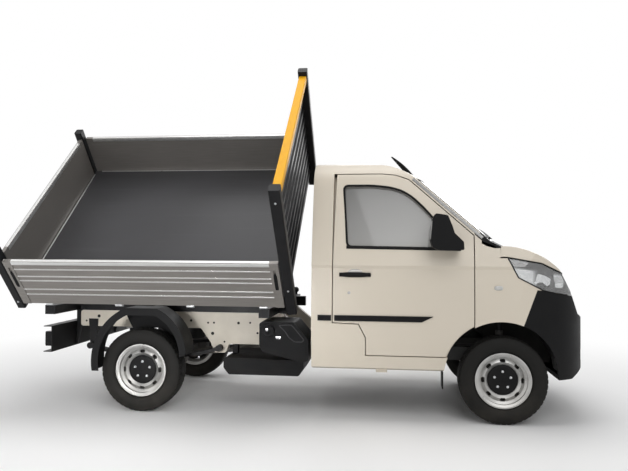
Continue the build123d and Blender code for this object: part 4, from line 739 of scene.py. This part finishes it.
# %% Wing corners, lamp seals and aerial
CORNER_X = np.linspace(2492.5, 2621.5, 16)
CORNER_TOP = np.interp(CORNER_X, (2492, 2528, 2582, 2624), (1274, 1253, 1239, 1240))
CORNER_FOOT = 1174.5
CORNER_Z = CORNER_FOOT + np.linspace(0, 1, 10)[None, :] * (CORNER_TOP - CORNER_FOOT)[:, None]
CORNER = np.broadcast_to(CORNER_X[:, None], CORNER_Z.shape)
LAMP_EDGE = ((3062, 1060), (2901, 1134), (2668, 1174), (2740, 1036), (2911, 948), (3090, 912))
along = np.linspace(0, len(LAMP_EDGE) - 1, 91)
LAMP_PATH = np.stack([np.interp(along, range(len(LAMP_EDGE)), column) for column in zip(*LAMP_EDGE)], -1)
for side, hand in SIDES:
    outer = np.stack([CORNER, side * (skin(CORNER, CORNER_Z) + 0.5), CORNER_Z], -1)
    piece("wing_corner_" + hand, plate(outer, (0.0, -4.0 * side, 0.0)), "cab_paint", "chassis")
    edge = np.stack([LAMP_PATH[:, 0], side * skin(*LAMP_PATH.T), LAMP_PATH[:, 1]], -1)
    piece("lamp_seal_" + hand, swept(edge, ring(4.5, 10), (0, side, 0.3)), "rubber_seal")
whip = bow((2066, 1776), (1975, 1902), (1864, 1996), 24)
whip = np.stack([whip[:, 0], 0 * whip[:, 0], whip[:, 1]], -1)
thin = np.linspace(20.0, 5.2, len(whip))
piece("aerial_whip", swept(whip, ring(1.0, 14), (0, 1.0, 0), taper=thin), "black_plastic")

# %% [markdown]
# ## Door furniture
# A pull handle stands over a shallow cup for the fingers, a lock sits under it, and each mirror has its glass
# on the side that the driver sees. The handle and the cup are rounded blocks, the lock a small lathe. A small
# turn lamp sits on each front wing.

# %% Handles, locks, mirror glass and turn lamps
LOCK = [(0, 3.0), (3.0, 2.8), (3.6, 1.6), (9.0, 1.8), (10.5, 0.8), (10.5, -3.0), (0, -3.0)]
MIRROR_Z, MIRROR_LEAN = 1361.0, 13.0 / 150.0
for side, hand in SIDES:
    body = "door_" + hand
    piece("handle_" + hand, pillow((228, 34, 36), (1612, side * (flank(1046) + 4), 1046), 2.7, 24, 96),
          "black_plastic", body)
    piece("handle_cup_" + hand, pillow((104, 12, 46), (1612, side * (flank(1060) - 1), 1062), 2.2, 16, 48),
          "bare_steel", body)
    piece("turn_lamp_" + hand, pillow((58, 16, 30), (2605, side * (flank(963) + 1), 963), 3.6, 16, 48),
          "clear_plastic", "chassis")
    piece("lock_" + hand, lathe(LOCK, (1570, side * flank(917), 917), (0, side, 0), 24),
          "bare_steel", body)
    points, quads = pillow((5, 108, 126), (2140.0, side * 925, MIRROR_Z), 7.0, 24, 48)
    points[..., 0] += (points[..., 2] - MIRROR_Z) * MIRROR_LEAN
    piece("mirror_glass_" + hand, (points, quads), "mirror_glass", body)

# %% [markdown]
# ## Seats
# Each seat has a cushion, a backrest and a headrest on two steel posts. A stuffed pad is a rounded block
# whose cover pulls in along the sewn lines. Formulas give the same form on every run: the block is a
# power-rounded ball, the lean is a shear, and each sewn channel lowers the surface by a bell curve.

# %% Seat pads
SEAT_Y, POST_X, POST_ENDS, POST_HALF = 385.0, 1403.0, (1480.0, 1560.0), 70.0
PADS = dict(
    # size, centre, lean of x per z, axis that faces the sitter
    cushion=((530, 470, 142), (1712, 0, 893), 0.0, 2),
    backrest=((118, 450, 580), (1450, 0, 1210), -0.115, 0),
    headrest=((76, 250, 150), (1402, 0, 1613), -0.02, 0),
)
CHANNELS, CHANNEL_DEPTH, CHANNEL_WIDTH = (-130.0, 0.0, 130.0), 9.0, 9.0


def stuffed(size, centre, lean, face):
    """A stuffed pad: a rounded block, lowered along its facing axis by a bell curve of the distance across
    from each sewn line, then leaned by moving x with the height."""
    points, quads = pillow(size, (0, 0, 0), 5.0, 48, 96)
    shape = points.copy()
    outward = np.clip(shape[..., face] / (size[face] / 2), 0, 1)
    dips = sum(np.exp(-((shape[..., 1] - line) / CHANNEL_WIDTH) ** 2) for line in CHANNELS)
    points[..., face] -= CHANNEL_DEPTH * dips * outward
    points[..., 0] += lean * shape[..., 2]
    return points + np.asarray(centre, float), quads


for side, hand in SIDES:
    for kind, row in PADS.items():
        points, quads = stuffed(*row)
        points += [0, side * SEAT_Y, 0]
        pad = piece(f"seat_{kind}_{hand}", (points, quads), "seat_cloth", "chassis")
        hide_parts("seats")
    posts = [swept([(POST_X, side * SEAT_Y + y, z) for z in POST_ENDS], ring(7.0), (1.0, 0, 0))
             for y in (-POST_HALF, POST_HALF)]
    piece("seat_posts_" + hand, joined(posts), "chrome", "chassis")

# %% [markdown]
# ## Mudguards, lamps and frame
# The plastic guards over the rear wheels have a flat outer lip and an inner wall, both grids between the
# guard's line and a line nearer the axle; the dark inner wall behind the tyre's top is painted shade, put
# where only shade lies. The box ahead of them carries a cap and a raised panel. Punched holes show as dark
# discs on the cream rails, painted shade for the dark inside of each hole, and bolt heads are six-sided
# lathes. The low intake in the bumper has three slats before a dark screen, swept round the nose, and each
# rear lamp has an amber, a red and a clear lens, which are soft-edged blocks.

# %% Guard lips and inner walls
GUARD = np.concatenate([bow((-362, 305), (-292, 625), (-105, 778), 24),
                        bow((140, 778), (292, 655), (368, 440), 24)])
AXLE = np.array([0.0, AXLE_Z])
REACH = np.linalg.norm(GUARD - AXLE, axis=1)
LIPS = dict(
    # places out from the middle at the guard and at the free edge, width, rearmost x
    outer=(786.0, 786.0, 56.0, -400.0),
    # the inner wall is a dark sheet of painted shade behind the top of the tyre
    inner=(581.0, 560.0, 178.0, -200.0),
)
for side, hand in SIDES:
    for kind, (out, free, width, rear) in LIPS.items():
        kept = GUARD[:, 0] > rear
        across = np.linspace(0, 1, 6)[None, :]
        share = 1 - across * (width / REACH[kept])[:, None]
        flat = AXLE + (GUARD[kept] - AXLE)[:, None, :] * share[..., None]
        outer = np.stack([flat[..., 0], 0 * share + side * (out + across * (free - out)), flat[..., 1]], -1)
        piece(f"guard_{kind}_{hand}", plate(outer, (0.0, -5.0 * side, 0.0)), "black_plastic")

# %% Box cap and panel, holes, bolts and lamp sides
BOX_FACE, RAIL_FACE, OUT_RIGHT, LAMP_Z = -730.0, 390.0, (0, -1.0, 0), 530.0
PANEL = ((1050, 668), (1146, 670), (1238, 564), (1224, 548), (1168, 548), (1124, 580), (1102, 618))
rim = rounded(PANEL, 14, 5)
rim = np.stack([rim[:, 0], 0 * rim[:, 0] + BOX_FACE, rim[:, 1]], -1)
piece("box_panel_rim", swept(rim, ring(1.0, 10) * [4.0, 5.0], OUT_RIGHT, True), "dash_plastic")
KNOB = [(0, 22.0), (12, 21.5), (16, 19.0), (34, 18.8), (38, 20.5), (42, 20.0), (44.4, 17.0), (44.4, 6.0),
        (0, 6.0)]
piece("box_cap", lathe(KNOB, (975, BOX_FACE, 625), OUT_RIGHT), "black_plastic")
STUD = [(0, 7.0), (5.5, 6.8), (7.0, 5.6), (7.0, 1.6), (10.5, 1.4), (11.0, 0.4), (11.0, -2.0), (0, -2.0)]
BRIGHT = ((966, -752, 634), (1038, BOX_FACE, 576), (1056, BOX_FACE, 574), (366, -470, 372))
piece("bright_bolts", joined([lathe(STUD, spot, OUT_RIGHT, HEX) for spot in BRIGHT]),
      "chrome", "chassis", HEX_CREASE)
# dark discs on the rails: painted shade for the dark inside of each punched hole
HOLE = [(0, 0.8), (1.0, 0.8), (1.0, -0.6), (0, -0.6)]
HOLES = ((418, 634, 8), (466, 635, 8), (456, 550, 13), (553, 486, 8), (462, 424, 9), (666, 636, 11),
         (-496, 671, 13), (-603, 632, 8), (278, 649, 10), (760, 640, 8), (820, 560, 9))
rims = [lathe(np.array(HOLE) * [radius, 1.0], (x, side * RAIL_FACE, z), (0, side, 0), 20)
        for side in (1, -1) for x, z, radius in HOLES]
piece("rail_holes", joined(rims), "underseal_and_shade", "chassis")
for side, hand in SIDES:
    cheek = pillow((58, 8, 112), (-734, side * 731.5, LAMP_Z), 9.0, 16, 32)
    piece("lamp_side_" + hand, cheek, "black_plastic")

# %% Intake slats and rear lenses
INTAKE_Z, INTAKE_HALF, SLAT_IN, SCREEN_IN = 470.0, 499.0, 14.0, 27.0
NOSE_R = 3291.7  # the turned face at the foot of the intake


def bumper_front(y):
    """How far forward the bumper's face is at a half width: the least of the circle about the rear axle and
    the plan outline, which is straight from its tip to its end point and an arc beyond."""
    (middle_x, middle_y), radius = PLAN_ARCS[1]
    straight = PLAN_TIP - y * (PLAN_TIP - PLAN_END[0]) / PLAN_END[1]
    corner = middle_x + np.sqrt(radius ** 2 - (y - middle_y) ** 2)
    return np.minimum(np.sqrt(NOSE_R ** 2 - y ** 2), np.where(y < PLAN_END[1], straight, corner))


across = np.linspace(-INTAKE_HALF, INTAKE_HALF, 61)
nose = np.stack([bumper_front(abs(across)), across, 0 * across + INTAKE_Z], -1)
SLAT = rounded([(-7.0, -4.0), (7.0, -4.0), (7.0, 4.0), (-7.0, 4.0)], 3, 3)
slats = [swept(nose + [-SLAT_IN, 0, z], SLAT, UP) for z in (-26, 0, 26)]
piece("intake_slats", joined(slats), "black_plastic")
SCREEN = rounded([(-1.5, -45.5), (1.5, -45.5), (1.5, 45.5), (-1.5, 45.5)], 1, 2)
piece("intake_screen", swept(nose - [SCREEN_IN, 0, 0], SCREEN, UP), "underseal_and_shade")
LENSES = dict(
    # finish, width, place out from the middle
    amber=("amber_lens", 40.0, 706.0),
    red=("red_lens", 82.0, 643.0),
    clear=("clear_plastic", 36.0, 582.0),
)
for side, hand in SIDES:
    for kind, (look, width, out) in LENSES.items():
        piece(f"rear_lens_{kind}_{hand}", pillow((10, width, 100), (-762, side * out, LAMP_Z), 7.0, 24, 36),
              look, "chassis")

# %% [markdown]
# ## Bed edges
# Each drop board is an extrusion with a rolled top rail and ridges along its outer face, whose bright colour
# is a painted highlight for the light they catch, and a bright strip closes the joint at the floor. All are
# one section carried along the bed, worked out with the bed lowered.

# %% Board rails, ridges and floor strips
BOARD_IN, BOARD_T, CAP_LEN, RAIL_DROP = 805.0, 28.0, 62.0, 18.0
BOARD_MID = BOARD_IN + BOARD_T / 2
RAIL_REAR, RAIL_FRONT = BED_REAR + 6 + CAP_LEN, BED_FRONT - 6 - CAP_LEN
TAIL_X, TAIL_HALF = BED_REAR - 19, 757 - CAP_LEN
RIDGES, RIDGE_OUT = (272.0, 203.0, 160.0, 73.0, 21.0), 11.2
RIDGE = ring(1.0, 14) * [6.0, 3.4]
RAIL = rounded([(-15.0, -18.8), (15.0, -18.8), (15.0, 18.8), (-15.0, 18.8)], 9, 5)
BOARDS = dict(
    # body, line's start and end in plan at the board's middle, board height
    right=("board_right", (RAIL_REAR, -BOARD_MID), (RAIL_FRONT, -BOARD_MID), 350.0),
    left=("board_left", (RAIL_FRONT, BOARD_MID), (RAIL_REAR, BOARD_MID), 350.0),
    tail=("tail", (TAIL_X, TAIL_HALF), (TAIL_X, -TAIL_HALF), 370.0),
)
for hand, (body, start, end, rise) in BOARDS.items():
    start, end = np.array([*start, 0.0]), np.array([*end, 0.0])
    out = np.cross((end - start) / np.linalg.norm(end - start), UP)
    line = start + np.linspace(0, 1, 3)[:, None] * (end - start)
    # the rail's bright colour is a painted highlight for the light it catches
    piece("top_rail_" + hand, swept(line + [0, 0, FLOOR_Z + rise - RAIL_DROP], RAIL, UP),
          "bright_alloy_and_highlight", body, place=tipped)
    # the ridges' bright colour is a painted highlight for the light they catch
    runs = [swept(line + out * RIDGE_OUT + [0, 0, FLOOR_Z + z], RIDGE[:, ::-1], UP) for z in RIDGES]
    piece("ridges_" + hand, joined(runs), "bright_alloy_and_highlight", body, place=tipped)
STRIP_EDGE = rounded([(-5.0, -1.5), (5.0, -1.5), (5.0, 2.0), (-5.0, 2.0)], 1.5, 3)
EDGES = (((BED_REAR + 60, 793), (BED_FRONT - 10, 793)), ((BED_REAR + 60, -793), (BED_FRONT - 10, -793)),
         ((BED_REAR + 8, -740), (BED_REAR + 8, 740)))
runs = [swept(np.linspace([*a, FLOOR_Z], [*b, FLOOR_Z], 3), STRIP_EDGE, UP) for a, b in EDGES]
piece("floor_strips", joined(runs), "bright_alloy_and_highlight", "bed", place=tipped)

# %% Board latches and post bolts
LEVER_Z, LEVER_IN, POST_FACE = FLOOR_Z + 172.0, 2.5, 833.0
for side, hand in SIDES:
    y = side * (BOARD_IN + BOARD_T - LEVER_IN)
    levers = [pillow((26, 9, 150), (x, y, LEVER_Z), 6.0, 20, 32) for x in (BED_REAR + 37, BED_FRONT - 37)]
    piece("latches_" + hand, joined(levers), "black_plastic", "board_" + hand, place=tipped)
BOLT = [(0, 9.0), (7.0, 8.8), (9.0, 7.2), (9.0, 2.2), (13.5, 2.0), (14.0, 0.4), (14.0, -2.0), (0, -2.0)]
spots = [(x, side * POST_FACE, FLOOR_Z + z, side) for side in (1, -1) for x, z in
         ((BED_FRONT + 38, 860), (BED_FRONT + 38, 90), (BED_REAR - 32, 380), (BED_REAR - 32, -60))]
piece("post_bolts",
      joined([lathe(np.array(BOLT) * [0.62, 0.8], (x, y, z), (0, side, 0), HEX) for x, y, z, side in spots]),
      "hinge_alloy", "bed", HEX_CREASE, place=tipped)

# %% [markdown]
# ## Stage, light and camera
# The photograph is a cut-out on white: an even, soft light and a pale floor that keeps a soft shadow. The
# floor and the world look white to the camera and to mirrors only, and light the truck at a plain level. The
# camera stands where a fit to the photograph puts it.

# %% Floor and world


def looked_at(tree):
    """One where a ray comes from the camera, a mirror or through glass, and nought where it only lights."""
    ray = knot(tree, "LightPath").outputs
    straight = sums(tree, "ADD", ray["Is Camera Ray"], ray["Is Transmission Ray"])
    return sums(tree, "ADD", straight, ray["Is Glossy Ray"], clamp=True)


WHITE, WORLD_LIGHT = (1.0, 1.0, 1.0, 1.0), 0.31
world = bpy.data.worlds.new("studio")
bpy.context.scene.world = world
world.use_nodes = True
tree = world.node_tree
even = tree.nodes["Background"]
even.inputs["Color"].default_value = WHITE
even.inputs["Strength"].default_value = WORLD_LIGHT
plain = knot(tree, "Background", {"Color": WHITE, "Strength": 1.0})
mix = knot(tree, "MixShader", {"Fac": looked_at(tree), 1: even.outputs[0], 2: plain.outputs[0]})
tree.links.new(mix.outputs[0], tree.nodes["World Output"].inputs["Surface"])

FLOOR_HALF, SHADOW_NEAR, SHADOW_FAR = 60.0, 2.0, 5.5
floor_mesh = bpy.data.meshes.new("floor")
corners = np.array([(-1, -1, 0), (1, -1, 0), (1, 1, 0), (-1, 1, 0)], float) * FLOOR_HALF - [0, 0, 0.0005]
floor_mesh.from_pydata(corners.tolist(), [], [(0, 1, 2, 3)])
floor = bpy.data.objects.new("floor", floor_mesh)
bpy.context.collection.objects.link(floor)
FLOOR = bpy.data.materials.new("pale_floor")
FLOOR.use_nodes = True
tree = FLOOR.node_tree
shade = tree.nodes["Principled BSDF"]
shade.inputs["Base Color"].default_value = (0.95, 0.95, 0.95, 1.0)
shade.inputs["Roughness"].default_value = 0.9
shade.inputs["Specular IOR Level"].default_value = 0.05
spot = knot(tree, "TexCoord").outputs["Object"]
away = knot(tree, "VectorMath", {0: spot}, operation="LENGTH").outputs["Value"]
far = knot(tree, "MapRange", {"Value": away, "From Min": SHADOW_NEAR, "From Max": SHADOW_FAR},
           interpolation_type="SMOOTHSTEP").outputs[0]
seen = sums(tree, "MULTIPLY", looked_at(tree), far)
plain = knot(tree, "Emission", {"Color": WHITE, "Strength": 1.0})
mix = knot(tree, "MixShader", {"Fac": seen, 1: shade.outputs[0], 2: plain.outputs[0]})
tree.links.new(mix.outputs[0], tree.nodes["Material Output"].inputs["Surface"])
floor_mesh.materials.append(FLOOR)

# %% Soft lamps
LAMPS = dict(
    # place, what it faces, width, watts, spread
    front=((2.5, -6.5, 5.0), (0.2, 0.0, 0.9), 5.0, 185.0, 180),
    rear=((-6.5, -2.5, 4.5), (-0.6, 0.0, 1.0), 4.0, 110.0, 180),
    over=((0.0, 0.0, 7.5), (0.0, 0.0, 0.8), 5.0, 215.0, 180),
    far=((2.0, 6.5, 4.0), (0.2, 0.0, 0.9), 5.0, 130.0, 180),
    low=((-1.6, -7.0, 0.9), (-1.1, 0.0, 0.55), 1.6, 9.0, 30),
)
for name, (spot, aim, width, watts, spread) in LAMPS.items():
    lamp = bpy.data.lights.new("lamp_" + name, "AREA")
    lamp.shape, lamp.size, lamp.energy, lamp.spread = "SQUARE", width, watts, radians(spread)
    holder = bpy.data.objects.new("lamp_" + name, lamp)
    holder.location = spot
    holder.rotation_euler = (Vector(aim) - Vector(spot)).to_track_quat("-Z", "Y").to_euler()
    bpy.context.collection.objects.link(holder)
print("lamps", list(LAMPS))

# %% Camera
FOCAL_PX, WIDTH_PX, SENSOR = 640.28, 628.0, 36.0
YAW, PITCH, ROLL = radians(7.08), radians(-1.12), radians(-0.31)
eye = Vector(placed([1882.8, -5365.3, 1233.8]))
forward = Vector((-sin(YAW) * cos(PITCH), cos(YAW) * cos(PITCH), -sin(PITCH)))
right = Vector((cos(YAW), sin(YAW), 0.0))
down = forward.cross(right)
right, down = cos(ROLL) * right + sin(ROLL) * down, -sin(ROLL) * right + cos(ROLL) * down
camera = bpy.data.objects.new("camera", bpy.data.cameras.new("camera"))
camera.data.sensor_width, camera.data.sensor_fit = SENSOR, "HORIZONTAL"
camera.data.lens = SENSOR * FOCAL_PX / WIDTH_PX
turned = Matrix((right, -down, -forward)).transposed()
camera.matrix_world = Matrix.Translation(eye) @ turned.to_4x4()
bpy.context.collection.objects.link(camera)
bpy.context.scene.camera = camera
bpy.context.scene.view_settings.view_transform = "Standard"
print("camera", tuple(round(v, 3) for v in eye), "lens", round(camera.data.lens, 2))
